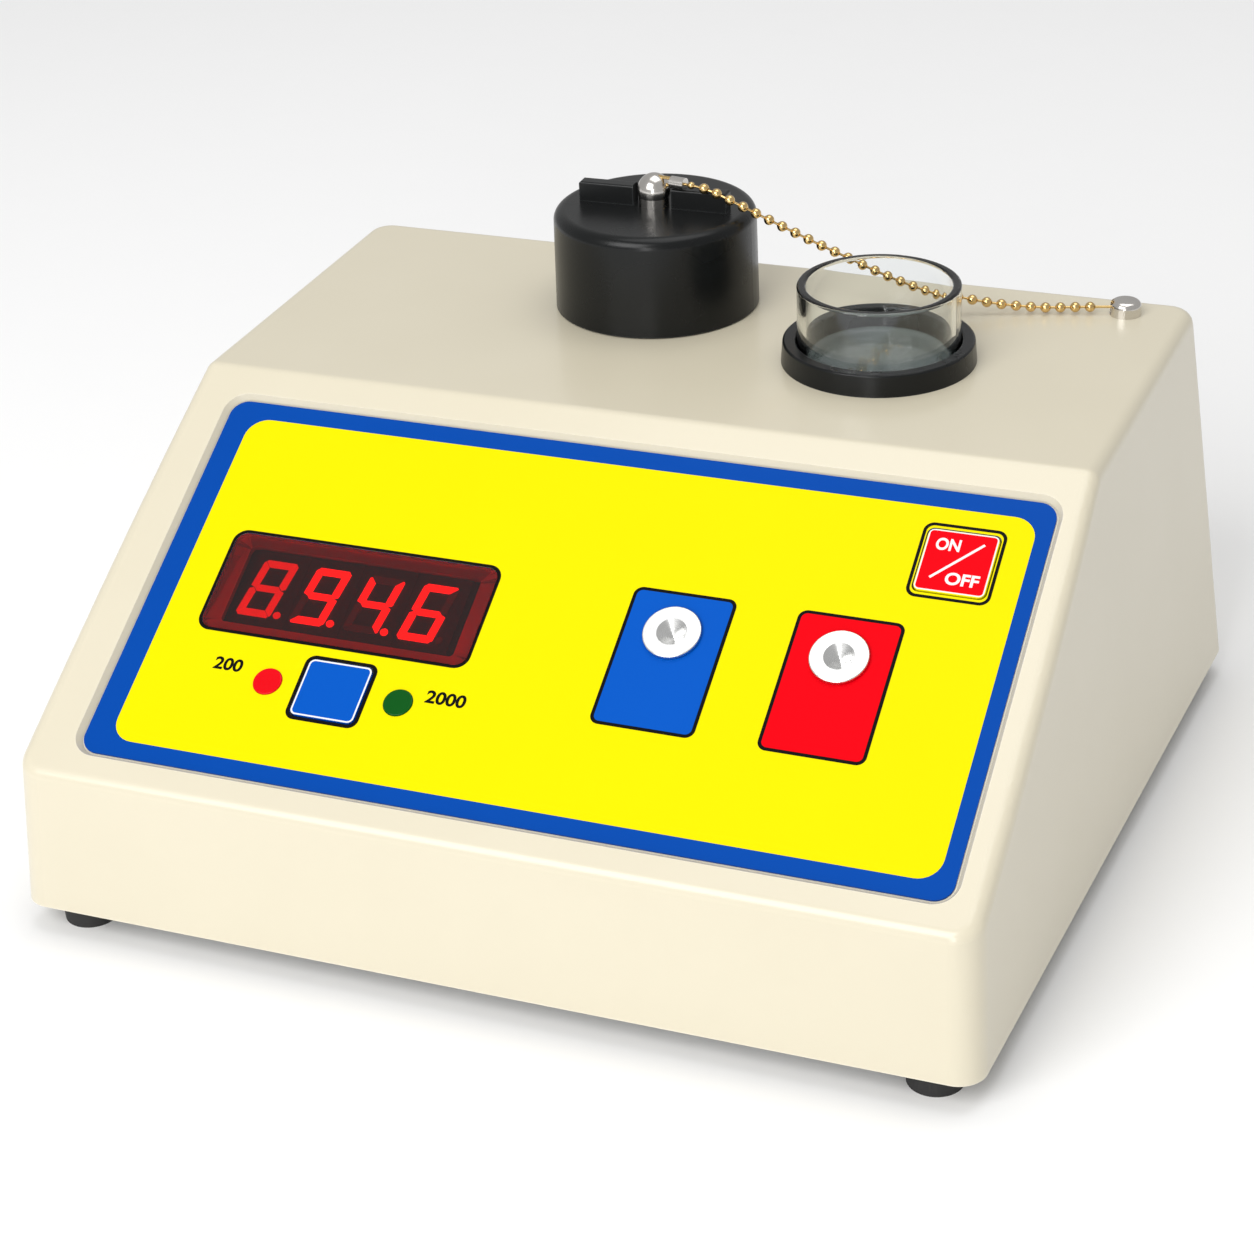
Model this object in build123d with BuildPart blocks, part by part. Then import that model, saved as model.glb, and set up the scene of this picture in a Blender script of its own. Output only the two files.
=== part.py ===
from build123d import *
import os
from math import atan2, cos, degrees, hypot, pi, radians, sin, sqrt, tan

os.makedirs("parts", exist_ok=True)

# Turbidity meter. Sizes are millimetres: X runs to the right, Y to the back, Z up.
# The origin lies on the table, under the middle of the whole meter with its fuse cap.

# Housing
front_width = 210.0
rear_width = 230.0
deck_front_width = 202.8
deck_rear_width = 207.2
housing_depth = 190.5
housing_height = 85.8
front_wall_height = 32.3
front_lean = 2.3
slope_run = 94.3
corner_radius = 6.0
edge_radius = 3.2
wall = 2.8
panel_wall = 4.2
rim_height = 6.5
column_radius = 4.5
column_insets = [(12.6, 30.0), (16.4, 160.0)]
column_pilot = 2.6
column_pilot_depth = 14.0

# Recess and printed film on the slope, measured from its lower edge
panel_shift = 2.4
panel_rise = 53.6
film_width = 188.0
film_height = 92.4
film_radius = 4.0
film_thickness = 0.5
recess_depth = 1.6
recess_gap = 0.3
recess_spread = 1.1

# Clearances
slide_gap = 0.3
fit_gap = 0.1
pin_gap = 0.05
press_gap = 0.01

# Display
window_place = (-46.2, 53.5)
window_width = 61.5
window_height = 24.3
window_radius = 2.6
window_seat = 1.4
sight_width = 54.2
sight_height = 19.5
sight_radius = 1.0
module_gap = 0.4
module_width = 12.5
module_pitch = 12.6
module_height = 19.05
module_depth = 8.0
module_count = 4
digit_height = 14.2
digit_width = 8.1
segment_stroke = 1.7
segment_space = 0.25
segment_thickness = 0.2
digit_slant = 6.0
digit_shift = 0.9

# Keys
range_key_place = (-41.5, 30.6)
range_key_size = (14.5, 13.6)
power_key_place = (79.0, 82.5)
power_key_size = (15.0, 15.2)
key_radius = 1.6
key_proud = 0.3
key_travel = 0.5
key_lip = 1.1
key_lip_thickness = 1.2
key_stem = 3.0
switch_size = 6.2
switch_height = 3.6
switch_well = 2.6

# Lamps beside the range key
red_lamp_place = (-56.3, 30.5)
green_lamp_place = (-26.3, 30.5)
lamp_diameter = 6.4
lamp_proud = 0.35
lamp_lip = 1.0
lamp_lip_thickness = 1.0
bulb_diameter = 5.0
bulb_gap = 0.4

# Adjusters
zero_place = (25.9, 56.3)
calibration_place = (61.4, 56.4)
disc_diameter = 12.3
disc_thickness = 0.8
hub_diameter = 7.0
hub_length = 4.6
dimple_diameter = 6.4
dimple_depth = 2.6
dimple_tip_radius = 0.05
shaft_diameter = 4.0
shaft_grip = 2.3
pot_width = 10.0
pot_length = 11.0
pot_height = 4.8
pot_well = 3.4

# Board behind the panel
panel_board_left = -82.0
panel_board_right = 88.0
panel_board_low = 22.0
panel_board_high = 93.0
board_thickness = 1.6
boss_radius = 3.0
boss_places = [(-77.0, 27.0), (83.0, 27.0), (-77.0, 88.0), (58.0, 88.0)]
small_screw = 2.2
small_head = 4.6
small_head_height = 1.7
boss_pilot_depth = 5.6

# Base plate, its screws and the feet
plate_thickness = 2.0
plate_set = 1.0
plate_gap = 0.3
base_screw = 3.0
base_head = 6.0
base_head_height = 2.2
foot_insets = [(11.5, 9.6), (9.85, 178.0)]
foot_screw_proud = 1.0
foot_top_radius = 6.4
foot_low_radius = 5.8
foot_pocket_radius = 3.6
foot_pocket_depth = 3.0
nut_radius = 3.2
nut_height = 2.4

# Well, sample tube and chamber
well_x = 42.9
well_depth = 140.0
tube_radius = 18.1
tube_wall = 2.0
tube_base = 3.0
tube_rise = 17.9
tube_foot_level = 25.3
collar_radius = 21.7
collar_top_radius = 21.3
collar_height = 5.0
collar_edge = 0.5
spigot_wall = 1.8
chamber_half = 28.0
chamber_corner = 4.0
beam_level = 50.0
beam_bore = 8.0
beam_shoulder = 1.2
beam_window = 5.4
lens_thickness = 2.2
chamber_screw_reach = 20.0
chamber_pilot_depth = 10.0
holder_flange_radius = 6.0
holder_flange_length = 4.0
detector_can_length = 5.0
detector_board_size = (16.0, 16.0)
detector_screw_place = 6.0
detector_screw_reach = 5.0

# Light cap, knob and chain
cap_x = -16.5
cap_depth = 158.9
cap_radius = 23.7
cap_top_radius = 23.4
cap_height = 23.3
cap_wall = 1.7
cap_top_wall = 4.2
cap_edge = 2.6
grip_length = 35.7
grip_thickness = 3.4
grip_height = 4.6
grip_edge = 0.5
grip_turn = 1.0
grip_eye = 4.9
knob_radius = 3.9
knob_skirt_radius = 3.6
knob_centre = 3.7
knob_screw = 3.0
knob_screw_reach = 3.8
knob_screw_head = 5.6
knob_screw_head_height = 2.0
loop_wire = 0.8
loop_half = 0.85
loop_turn = -10.0
loop_start = 0.9
loop_grip = 2.4
ferrule_start = 4.7
ferrule_length = 3.6
ferrule_diameter = 2.9
ferrule_gap = 0.1
chain_diameter = 2.4
chain_middle = [
    (19.1, -3.37, 27.9),
    (29.0, -0.03, 22.1),
    (44.0, 4.16, 14.0),
    (59.0, 8.35, 7.0),
    (73.0, 12.26, 3.0),
    (87.0, 16.17, 1.4),
]
chain_lead = 4.9
chain_tail = 8.0
chain_anchor_rise = 1.75
anchor_inset = 14.28
anchor_depth = 180.3
anchor_radius = 3.6
anchor_edge = 1.5
anchor_height = 3.5
anchor_flat = 2.6
anchor_slot = 2.8
anchor_stem = 3.0
anchor_stem_reach = 3.4

# Main board and what stands on it
main_board_width = 150.0
main_board_depth = 84.0
main_board_place = 54.0
standoff_height = 6.0
standoff_radius = 3.2
standoff_inset = 5.0
chip_size = (19.3, 6.4, 3.3)
chip_lift = 0.5
chip_pitch = 2.54
chip_leg = 0.5
chip_leg_rows = 7
chip_places = [(-40.0, 40.0), (0.0, 40.0), (40.0, 40.0)]
capacitor_diameter = 12.5
capacitor_height = 20.0
capacitor_places = [(-8.0, 82.0), (8.0, 82.0)]
socket_size = (20.0, 6.0, 8.5)
socket_wall = 1.0
socket_places = [(-30.0, 20.0), (30.0, 20.0)]
regulator_place = (-45.0, 84.0)
regulator_size = (10.2, 4.5, 15.0)
regulator_lift = 3.0
regulator_leg = 0.8
regulator_leg_pitch = 2.54
heat_sink_base = (22.0, 2.5, 24.0)
heat_sink_fin = (1.5, 7.0)
heat_sink_fins = 5

# Transformer
transformer_x = -60.0
transformer_depth = 146.0
core_width = 42.0
core_height = 35.0
core_stack = 16.0
core_window_width = 7.0
core_window_height = 21.0
coil_gap = 0.2
coil_corner = 3.0
strap_thickness = 1.0
strap_width = 14.0
strap_foot = 11.0
strap_gap = 0.1

# Mains inlet and fuse holder in the rear wall
inlet_x = -68.0
inlet_rise = 34.0
inlet_flange = (50.0, 23.0, 3.0)
inlet_flange_corner = 3.0
inlet_body = (27.0, 19.6)
inlet_body_length = 20.0
inlet_socket = (24.4, 16.6, 15.0)
inlet_corner = 5.0
inlet_pin = (2.0, 4.0)
inlet_pin_reach = 13.0
inlet_pin_tail = 6.0
inlet_pin_spread = 7.0
inlet_pin_offset = 2.0
inlet_screw_spread = 20.0
inlet_screw_length = 8.0
inlet_head = 5.6
inlet_head_height = 1.8
fuse_x = -26.0
fuse_body_radius = 6.0
fuse_cap_radius = 7.4
fuse_cap_length = 8.0
fuse_cap_edge = 1.0
fuse_body_length = 25.0
fuse_slot = (1.6, 1.5)

# Levels and places that follow
front_y = -(housing_depth + fuse_cap_length) / 2
rear_y = front_y + housing_depth
deck_level = rim_height + housing_height
roof_level = deck_level - wall
plate_low = rim_height + plate_set
plate_top = plate_low + plate_thickness
slope_rise = housing_height - front_wall_height
slope_angle = degrees(atan2(slope_rise, slope_run))
slope_length = hypot(slope_run, slope_rise)
panel = Plane(
    origin=(0, front_y + front_lean, rim_height + front_wall_height),
    x_dir=(1, 0, 0),
    z_dir=(0, -sin(radians(slope_angle)), cos(radians(slope_angle))),
)
film_level = -recess_depth
film_face = film_level + film_thickness
seat_level = film_level - window_seat
module_face = seat_level - module_gap
board_face = module_face - module_depth
board_back = board_face - board_thickness
well_y = front_y + well_depth
cap_y = front_y + cap_depth
anchor_y = front_y + anchor_depth
well_radius = tube_radius + slide_gap
collar_spigot_radius = well_radius + spigot_wall
inlet_level = rim_height + inlet_rise
rear_wall = Plane(origin=(0, rear_y, 0), x_dir=(-1, 0, 0), z_dir=(0, 1, 0))
inlet_screw_points = [(-inlet_x + side * inlet_screw_spread, inlet_level) for side in (-1, 1)]
chamber_top = roof_level - slide_gap
source_beam = Plane(origin=(well_x - chamber_half, well_y, beam_level), x_dir=(0, -1, 0), z_dir=(-1, 0, 0))
detector_beam = Plane(origin=(well_x, well_y - chamber_half, beam_level), x_dir=(1, 0, 0), z_dir=(0, -1, 0))
beam_step = chamber_half - well_radius - beam_shoulder
detector_screw_points = [(side * detector_screw_place, -side * detector_screw_place) for side in (-1, 1)]
chamber_screw_points = [
    (well_x + side_x * chamber_screw_reach, well_y + side_y * chamber_screw_reach)
    for side_x in (-1, 1)
    for side_y in (-1, 1)
]
transformer_y = front_y + transformer_depth
strap_screw_reach = core_width / 2 + strap_thickness + strap_foot / 2
strap_screw_points = [(transformer_x + side * strap_screw_reach, transformer_y) for side in (-1, 1)]
main_board_y = front_y + main_board_place
standoff_points = [
    (
        side_x * (main_board_width / 2 - standoff_inset),
        main_board_y + side_y * (main_board_depth / 2 - standoff_inset),
    )
    for side_x in (-1, 1)
    for side_y in (-1, 1)
]
board_low = plate_top + standoff_height
board_top = board_low + board_thickness


def four_sided(level, front_half, rear_half, low_y, high_y, radius):
    """Outline with straight sides and round corners, wider at the back than at the front."""
    with BuildSketch(Plane.XY.offset(level)) as outline:
        with BuildLine():
            Polyline(
                (-front_half, low_y),
                (front_half, low_y),
                (rear_half, high_y),
                (-rear_half, high_y),
                close=True,
            )
        make_face()
        fillet(outline.vertices(), radius)
    return outline.sketch


def half_width(front, rear, depth):
    """Half the width between two sides that spread towards the back, at one distance from the front."""
    return (front + (rear - front) * depth / housing_depth) / 2


def beside_rim(insets):
    """Places on the left and on the right, each set in from the side of the lower rim."""
    return [
        (side * (half_width(front_width, rear_width, depth) - inset), front_y + depth)
        for inset, depth in insets
        for side in (-1, 1)
    ]


def save(builder, name):
    """Label one finished piece and write it under its own name."""
    builder.part.label = name
    export_step(builder.part, "parts/" + name + ".step")


lean_at_deck = front_lean * housing_height / front_wall_height
column_points = beside_rim(column_insets)
foot_points = beside_rim(foot_insets)
anchor_x = half_width(deck_front_width, deck_rear_width, anchor_depth) - anchor_inset

# Inside of the housing, less the columns and bosses that stand in it
inner_radius = corner_radius - wall
inner_fraction = (roof_level - rim_height) / housing_height
inner_front_half = front_width / 2 + (deck_front_width - front_width) / 2 * inner_fraction - wall
inner_rear_half = rear_width / 2 + (deck_rear_width - rear_width) / 2 * inner_fraction - wall
with BuildPart() as hollow:
    inner_rim = four_sided(
        rim_height,
        front_width / 2 - wall,
        rear_width / 2 - wall,
        front_y + wall,
        rear_y - wall,
        inner_radius,
    )
    inner_roof = four_sided(
        roof_level,
        inner_front_half,
        inner_rear_half,
        front_y + lean_at_deck * inner_fraction + wall,
        rear_y - wall,
        inner_radius,
    )
    loft([inner_rim.face(), inner_roof.face()], ruled=True)
    with BuildSketch(panel.offset(-panel_wall)):
        Rectangle(2 * rear_width, 3 * slope_length)
    extrude(amount=housing_height, mode=Mode.SUBTRACT)
    with BuildSketch(Plane.XY.offset(plate_top)):
        with Locations(*column_points):
            Circle(column_radius)
    extrude(amount=housing_height, mode=Mode.SUBTRACT)
    with BuildSketch(panel.offset(board_face)):
        with Locations(*boss_places):
            Circle(boss_radius)
    extrude(amount=-board_face, mode=Mode.SUBTRACT)

# Housing moulding
recess_size = (film_width + 2 * recess_gap, film_height + 2 * recess_gap)
window_cut = (window_width + 2 * fit_gap, window_height + 2 * fit_gap)
range_key_cut = (range_key_size[0] + 2 * slide_gap, range_key_size[1] + 2 * slide_gap)
power_key_cut = (power_key_size[0] + 2 * slide_gap, power_key_size[1] + 2 * slide_gap)
with BuildPart() as housing:
    outer_rim = four_sided(rim_height, front_width / 2, rear_width / 2, front_y, rear_y, corner_radius)
    outer_deck = four_sided(
        deck_level,
        deck_front_width / 2,
        deck_rear_width / 2,
        front_y + lean_at_deck,
        rear_y,
        corner_radius,
    )
    loft([outer_rim.face(), outer_deck.face()], ruled=True)
    with BuildSketch(panel):
        Rectangle(2 * rear_width, 3 * slope_length)
    extrude(amount=housing_height, mode=Mode.SUBTRACT)
    deck_face = housing.faces().sort_by(Axis.Z)[-1]
    slope_face = housing.faces().sort_by(Axis(panel.origin, panel.z_dir))[-1]
    fillet(deck_face.edges() + slope_face.edges(), edge_radius)
    with BuildSketch(panel):
        with Locations((panel_shift, panel_rise)):
            RectangleRounded(
                recess_size[0] + 2 * recess_spread,
                recess_size[1] + 2 * recess_spread,
                film_radius + recess_gap + recess_spread,
            )
    with BuildSketch(panel.offset(film_level)):
        with Locations((panel_shift, panel_rise)):
            RectangleRounded(recess_size[0], recess_size[1], film_radius + recess_gap)
    loft(ruled=True, mode=Mode.SUBTRACT)
    add(hollow.part, mode=Mode.SUBTRACT)
    with BuildSketch(panel.offset(film_level)):
        with Locations(window_place):
            RectangleRounded(sight_width, sight_height, sight_radius)
        with Locations(red_lamp_place, green_lamp_place):
            Circle(lamp_diameter / 2 + pin_gap)
        with Locations(zero_place, calibration_place):
            Circle(hub_diameter / 2 + slide_gap)
        with Locations(range_key_place):
            RectangleRounded(range_key_cut[0], range_key_cut[1], key_radius)
        with Locations(power_key_place):
            RectangleRounded(power_key_cut[0], power_key_cut[1], key_radius)
    extrude(amount=-panel_wall, mode=Mode.SUBTRACT)
    with BuildSketch(panel.offset(seat_level)):
        with Locations(window_place):
            RectangleRounded(window_cut[0], window_cut[1], window_radius + fit_gap)
    extrude(amount=window_seat + film_thickness, mode=Mode.SUBTRACT)
    with BuildSketch(panel.offset(board_face)):
        with Locations(*boss_places):
            Circle(small_screw / 2 + pin_gap)
    extrude(amount=boss_pilot_depth, mode=Mode.SUBTRACT)
    with BuildSketch(Plane.XY.offset(plate_top)):
        with Locations(*column_points):
            Circle(column_pilot / 2)
    extrude(amount=column_pilot_depth, mode=Mode.SUBTRACT)
    with BuildSketch(Plane.XY.offset(deck_level)):
        with Locations((well_x, well_y)):
            Circle(collar_spigot_radius + fit_gap)
        with Locations((anchor_x, anchor_y)):
            Circle(anchor_stem / 2 + fit_gap)
    extrude(amount=-2 * wall, mode=Mode.SUBTRACT)
    with BuildSketch(rear_wall):
        with Locations((-inlet_x, inlet_level)):
            Rectangle(inlet_body[0] + 2 * fit_gap, inlet_body[1] + 2 * fit_gap)
        with Locations((-fuse_x, inlet_level)):
            Circle(fuse_body_radius + fit_gap)
        with Locations(*inlet_screw_points):
            Circle(base_screw / 2 + fit_gap)
    extrude(amount=-2 * wall, mode=Mode.SUBTRACT)
save(housing, "housing")

# Printed film in the recess, with its windows
with BuildPart() as panel_overlay:
    with BuildSketch(panel.offset(film_level)):
        with Locations((panel_shift, panel_rise)):
            RectangleRounded(film_width, film_height, film_radius)
        with Locations(window_place):
            RectangleRounded(window_cut[0], window_cut[1], window_radius + fit_gap, mode=Mode.SUBTRACT)
        with Locations(red_lamp_place, green_lamp_place):
            Circle(lamp_diameter / 2 + pin_gap, mode=Mode.SUBTRACT)
        with Locations(zero_place, calibration_place):
            Circle(hub_diameter / 2 + slide_gap, mode=Mode.SUBTRACT)
        with Locations(range_key_place):
            RectangleRounded(range_key_cut[0], range_key_cut[1], key_radius, mode=Mode.SUBTRACT)
        with Locations(power_key_place):
            RectangleRounded(power_key_cut[0], power_key_cut[1], key_radius, mode=Mode.SUBTRACT)
    extrude(amount=film_thickness)
save(panel_overlay, "panel_overlay")

# Red filter, level with the film and seated on the ledge of its opening
with BuildPart() as display_window:
    with BuildSketch(panel.offset(seat_level)):
        with Locations(window_place):
            RectangleRounded(window_width, window_height, window_radius)
    extrude(amount=window_seat + film_thickness)
save(display_window, "display_window")

# Four digit modules side by side
module_offsets = [(n - (module_count - 1) / 2) * module_pitch for n in range(module_count)]
module_points = [(window_place[0] + offset, window_place[1]) for offset in module_offsets]
with BuildPart() as digit_modules:
    with BuildSketch(panel.offset(board_face)):
        with Locations(*module_points):
            Rectangle(module_width, module_height)
    extrude(amount=module_depth - segment_thickness)
save(digit_modules, "digit_modules")

# Segment bars, seven to a digit, and the point at its lower right
lean = tan(radians(digit_slant))
bar_reach = (digit_width - segment_stroke) / 2
bar_rise = (digit_height - segment_stroke) / 2


def bar_outline(centre_x, centre_y, half_length, upright):
    """Corners of one six-sided bar, leaned with the digit."""
    half = segment_stroke / 2
    end = half_length - segment_space
    shoulder = end - half
    flat = [(-end, 0), (-shoulder, half), (shoulder, half), (end, 0), (shoulder, -half), (-shoulder, -half)]
    if upright:
        flat = [(y, x) for x, y in reversed(flat)]
    return [(centre_x + x + (centre_y + y) * lean, centre_y + y) for x, y in flat]


bars = [
    bar_outline(0, bar_rise, bar_reach, False),
    bar_outline(0, 0, bar_reach, False),
    bar_outline(0, -bar_rise, bar_reach, False),
    bar_outline(-bar_reach, bar_rise / 2, bar_rise / 2, True),
    bar_outline(bar_reach, bar_rise / 2, bar_rise / 2, True),
    bar_outline(-bar_reach, -bar_rise / 2, bar_rise / 2, True),
    bar_outline(bar_reach, -bar_rise / 2, bar_rise / 2, True),
]
point_x = digit_width / 2 + segment_stroke / 2 - bar_rise * lean
with BuildPart() as digit_segments:
    with BuildSketch(panel.offset(module_face - segment_thickness)):
        for module_x, module_y in module_points:
            for bar in bars:
                with BuildLine():
                    Polyline(*[(module_x - digit_shift + x, module_y + y) for x, y in bar], close=True)
                make_face()
            with Locations((module_x + point_x, module_y - bar_rise)):
                Circle(segment_stroke / 2)
    extrude(amount=segment_thickness)
save(digit_segments, "digit_segments")


def build_key(place, size, name):
    """Square key with a lip under the panel wall and a stem that enters its switch."""
    lip_top = -panel_wall - slide_gap
    top = film_face + key_proud
    with BuildPart() as key:
        with BuildSketch(panel.offset(lip_top - key_lip_thickness)):
            with Locations(place):
                RectangleRounded(size[0], size[1], key_radius)
        extrude(amount=top - lip_top + key_lip_thickness)
        fillet(key.faces().sort_by(Axis(panel.origin, panel.z_dir))[-1].edges(), key_proud * 0.8)
        with BuildSketch(panel.offset(lip_top - key_lip_thickness)):
            with Locations(place):
                RectangleRounded(size[0] + 2 * key_lip, size[1] + 2 * key_lip, key_radius)
        extrude(amount=key_lip_thickness)
        with BuildSketch(panel.offset(stem_tip)):
            with Locations(place):
                Circle(key_stem / 2)
        extrude(amount=lip_top - key_lip_thickness - stem_tip)
    save(key, name)


stem_tip = board_face + switch_height - switch_well + key_travel + slide_gap
build_key(range_key_place, range_key_size, "range_key")
build_key(power_key_place, power_key_size, "power_key")

# Switch under each key, open at the top for the stem
with BuildPart() as key_switches:
    with BuildSketch(panel.offset(board_face)):
        with Locations(range_key_place, power_key_place):
            Rectangle(switch_size, switch_size)
    extrude(amount=switch_height)
    with BuildSketch(panel.offset(board_face + switch_height)):
        with Locations(range_key_place, power_key_place):
            Circle(key_stem / 2 + slide_gap)
    extrude(amount=-switch_well, mode=Mode.SUBTRACT)
save(key_switches, "key_switches")


def build_lamp_lens(place, name):
    """Round lens pushed up through the panel wall, held by its lip."""
    with BuildPart() as lens:
        with BuildSketch(panel.offset(-panel_wall - lamp_lip_thickness)):
            with Locations(place):
                Circle(lamp_diameter / 2 + lamp_lip)
        extrude(amount=lamp_lip_thickness)
        with BuildSketch(panel.offset(-panel_wall)):
            with Locations(place):
                Circle(lamp_diameter / 2)
        extrude(amount=panel_wall + film_face + lamp_proud)
        fillet(lens.faces().sort_by(Axis(panel.origin, panel.z_dir))[-1].edges(), lamp_proud * 0.8)
    save(lens, name)


build_lamp_lens(red_lamp_place, "red_lamp")
build_lamp_lens(green_lamp_place, "green_lamp")

# Bulbs on the board, under the lenses
bulb_top = -panel_wall - lamp_lip_thickness - bulb_gap
with BuildPart() as panel_lamps:
    with BuildSketch(panel.offset(board_face)):
        with Locations(red_lamp_place, green_lamp_place):
            Circle(bulb_diameter / 2)
    extrude(amount=bulb_top - board_face)
    fillet(panel_lamps.faces().sort_by(Axis(panel.origin, panel.z_dir))[-2:].edges(), bulb_diameter * 0.45)
save(panel_lamps, "panel_lamps")


def build_adjuster(place, name):
    """Turned disc with a conical dimple, the shaft that it grips and the pot that holds the shaft."""
    disc_low = film_face + slide_gap
    disc_top = disc_low + disc_thickness
    hub_low = disc_low - hub_length
    socket_depth = shaft_grip + fit_gap
    with BuildPart() as knob:
        with BuildSketch(panel.offset(disc_low)):
            with Locations(place):
                Circle(disc_diameter / 2)
        extrude(amount=disc_thickness)
        fillet(knob.faces().sort_by(Axis(panel.origin, panel.z_dir))[-1].edges(), disc_thickness * 0.25)
        with BuildSketch(panel.offset(hub_low)):
            with Locations(place):
                Circle(hub_diameter / 2)
        extrude(amount=hub_length)
        with BuildSketch(panel.offset(hub_low)):
            with Locations(place):
                Circle(shaft_diameter / 2 + press_gap)
        extrude(amount=socket_depth, mode=Mode.SUBTRACT)
        with Locations(panel.offset(disc_top - dimple_depth / 2)):
            with Locations(place):
                Cone(dimple_tip_radius, dimple_diameter / 2, dimple_depth, mode=Mode.SUBTRACT)
    save(knob, name + "_knob")
    well_floor = board_face + pot_height - pot_well
    with BuildPart() as shaft:
        with BuildSketch(panel.offset(well_floor + slide_gap)):
            with Locations(place):
                Circle(shaft_diameter / 2)
        extrude(amount=hub_low + shaft_grip - well_floor - slide_gap)
    save(shaft, name + "_shaft")
    with BuildPart() as pot:
        with BuildSketch(panel.offset(board_face)):
            with Locations(place):
                Rectangle(pot_width, pot_length)
        extrude(amount=pot_height)
        with BuildSketch(panel.offset(board_face + pot_height)):
            with Locations(place):
                Circle(shaft_diameter / 2 + pin_gap)
        extrude(amount=-pot_well, mode=Mode.SUBTRACT)
    save(pot, name + "_pot")


build_adjuster(zero_place, "zero")
build_adjuster(calibration_place, "calibration")

# Board behind the panel, on the bosses
panel_board_place = ((panel_board_left + panel_board_right) / 2, (panel_board_low + panel_board_high) / 2)
with BuildPart() as panel_board:
    with BuildSketch(panel.offset(board_back)):
        with Locations(panel_board_place):
            Rectangle(panel_board_right - panel_board_left, panel_board_high - panel_board_low)
        with Locations(*boss_places):
            Circle(small_screw / 2 + slide_gap, mode=Mode.SUBTRACT)
    extrude(amount=board_thickness)
save(panel_board, "panel_board")

# Screws from the board into the bosses
with BuildPart() as panel_board_screws:
    with BuildSketch(panel.offset(board_back)):
        with Locations(*boss_places):
            Circle(small_head / 2)
    extrude(amount=-small_head_height)
    with BuildSketch(panel.offset(board_back)):
        with Locations(*boss_places):
            Circle(small_screw / 2)
    extrude(amount=board_thickness + boss_pilot_depth - slide_gap)
save(panel_board_screws, "panel_board_screws")

# Base plate inside the lower rim
with BuildPart() as base_plate:
    plate_edge = wall + plate_gap
    plate_outline = four_sided(
        plate_low,
        front_width / 2 - plate_edge,
        rear_width / 2 - plate_edge - plate_gap,
        front_y + plate_edge + plate_gap,
        rear_y - plate_edge,
        inner_radius,
    )
    extrude(plate_outline, amount=plate_thickness)
    with BuildSketch(Plane.XY.offset(plate_low)):
        with Locations(*column_points, *foot_points):
            Circle(base_screw / 2 + fit_gap)
        with Locations(*chamber_screw_points, *strap_screw_points, *standoff_points):
            Circle(base_screw / 2 + fit_gap)
    extrude(amount=plate_thickness, mode=Mode.SUBTRACT)
save(base_plate, "base_plate")

# Screws from the plate into the columns
with BuildPart() as base_screws:
    with BuildSketch(Plane.XY.offset(plate_low)):
        with Locations(*column_points):
            Circle(base_head / 2)
    extrude(amount=-base_head_height)
    with BuildSketch(Plane.XY.offset(plate_low)):
        with Locations(*column_points):
            Circle(column_pilot / 2 - pin_gap)
    extrude(amount=plate_thickness + column_pilot_depth - slide_gap)
save(base_screws, "base_screws")

# Rubber feet, each with a pocket for its screw
with BuildPart() as feet:
    with Locations(*[(x, y, plate_low / 2) for x, y in foot_points]):
        Cone(foot_low_radius, foot_top_radius, plate_low)
    with BuildSketch(Plane.XY):
        with Locations(*foot_points):
            Circle(foot_pocket_radius)
    extrude(amount=foot_pocket_depth, mode=Mode.SUBTRACT)
    with BuildSketch(Plane.XY):
        with Locations(*foot_points):
            Circle(base_screw / 2 + fit_gap)
    extrude(amount=plate_low, mode=Mode.SUBTRACT)
save(feet, "feet")

# Foot screws with their nuts above the plate
with BuildPart() as foot_screws:
    with BuildSketch(Plane.XY.offset(foot_pocket_depth)):
        with Locations(*foot_points):
            Circle(base_head / 2)
    extrude(amount=-base_head_height)
    with BuildSketch(Plane.XY.offset(foot_pocket_depth)):
        with Locations(*foot_points):
            Circle(base_screw / 2)
    extrude(amount=plate_top - foot_pocket_depth + nut_height + foot_screw_proud)
save(foot_screws, "foot_screws")

with BuildPart() as foot_nuts:
    with BuildSketch(Plane.XY.offset(plate_top)):
        with Locations(*foot_points):
            RegularPolygon(nut_radius, 6)
            Circle(base_screw / 2 + press_gap, mode=Mode.SUBTRACT)
    extrude(amount=nut_height)
save(foot_nuts, "foot_nuts")

# Black collar: a tapered ring on the deck with a spigot through it
with BuildPart() as well_collar:
    with BuildSketch(Plane.XZ.offset(-well_y)):
        with BuildLine():
            Polyline(
                (well_x + well_radius, roof_level),
                (well_x + collar_spigot_radius, roof_level),
                (well_x + collar_spigot_radius, deck_level),
                (well_x + collar_radius, deck_level),
                (well_x + collar_top_radius, deck_level + collar_height),
                (well_x + well_radius, deck_level + collar_height),
                close=True,
            )
        make_face()
    revolve(axis=Axis((well_x, well_y, 0), (0, 0, 1)))
    collar_top_edges = well_collar.edges().filter_by(GeomType.CIRCLE).group_by(Axis.Z)[-1]
    fillet(collar_top_edges, collar_edge)
save(well_collar, "well_collar")

# Glass sample tube with a thick base and a rounded rim
tube_top = deck_level + tube_rise
with BuildPart() as sample_tube:
    with BuildSketch(Plane.XY.offset(tube_foot_level)):
        with Locations((well_x, well_y)):
            Circle(tube_radius)
    extrude(amount=tube_top - tube_foot_level)
    with BuildSketch(Plane.XY.offset(tube_foot_level + tube_base)):
        with Locations((well_x, well_y)):
            Circle(tube_radius - tube_wall)
    extrude(amount=tube_top - tube_foot_level, mode=Mode.SUBTRACT)
    fillet(sample_tube.edges().filter_by(GeomType.CIRCLE).group_by(Axis.Z)[-1], tube_wall * 0.3)
    fillet(sample_tube.edges().filter_by(GeomType.CIRCLE).group_by(Axis.Z)[0], tube_wall * 0.5)
save(sample_tube, "sample_tube")

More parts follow.
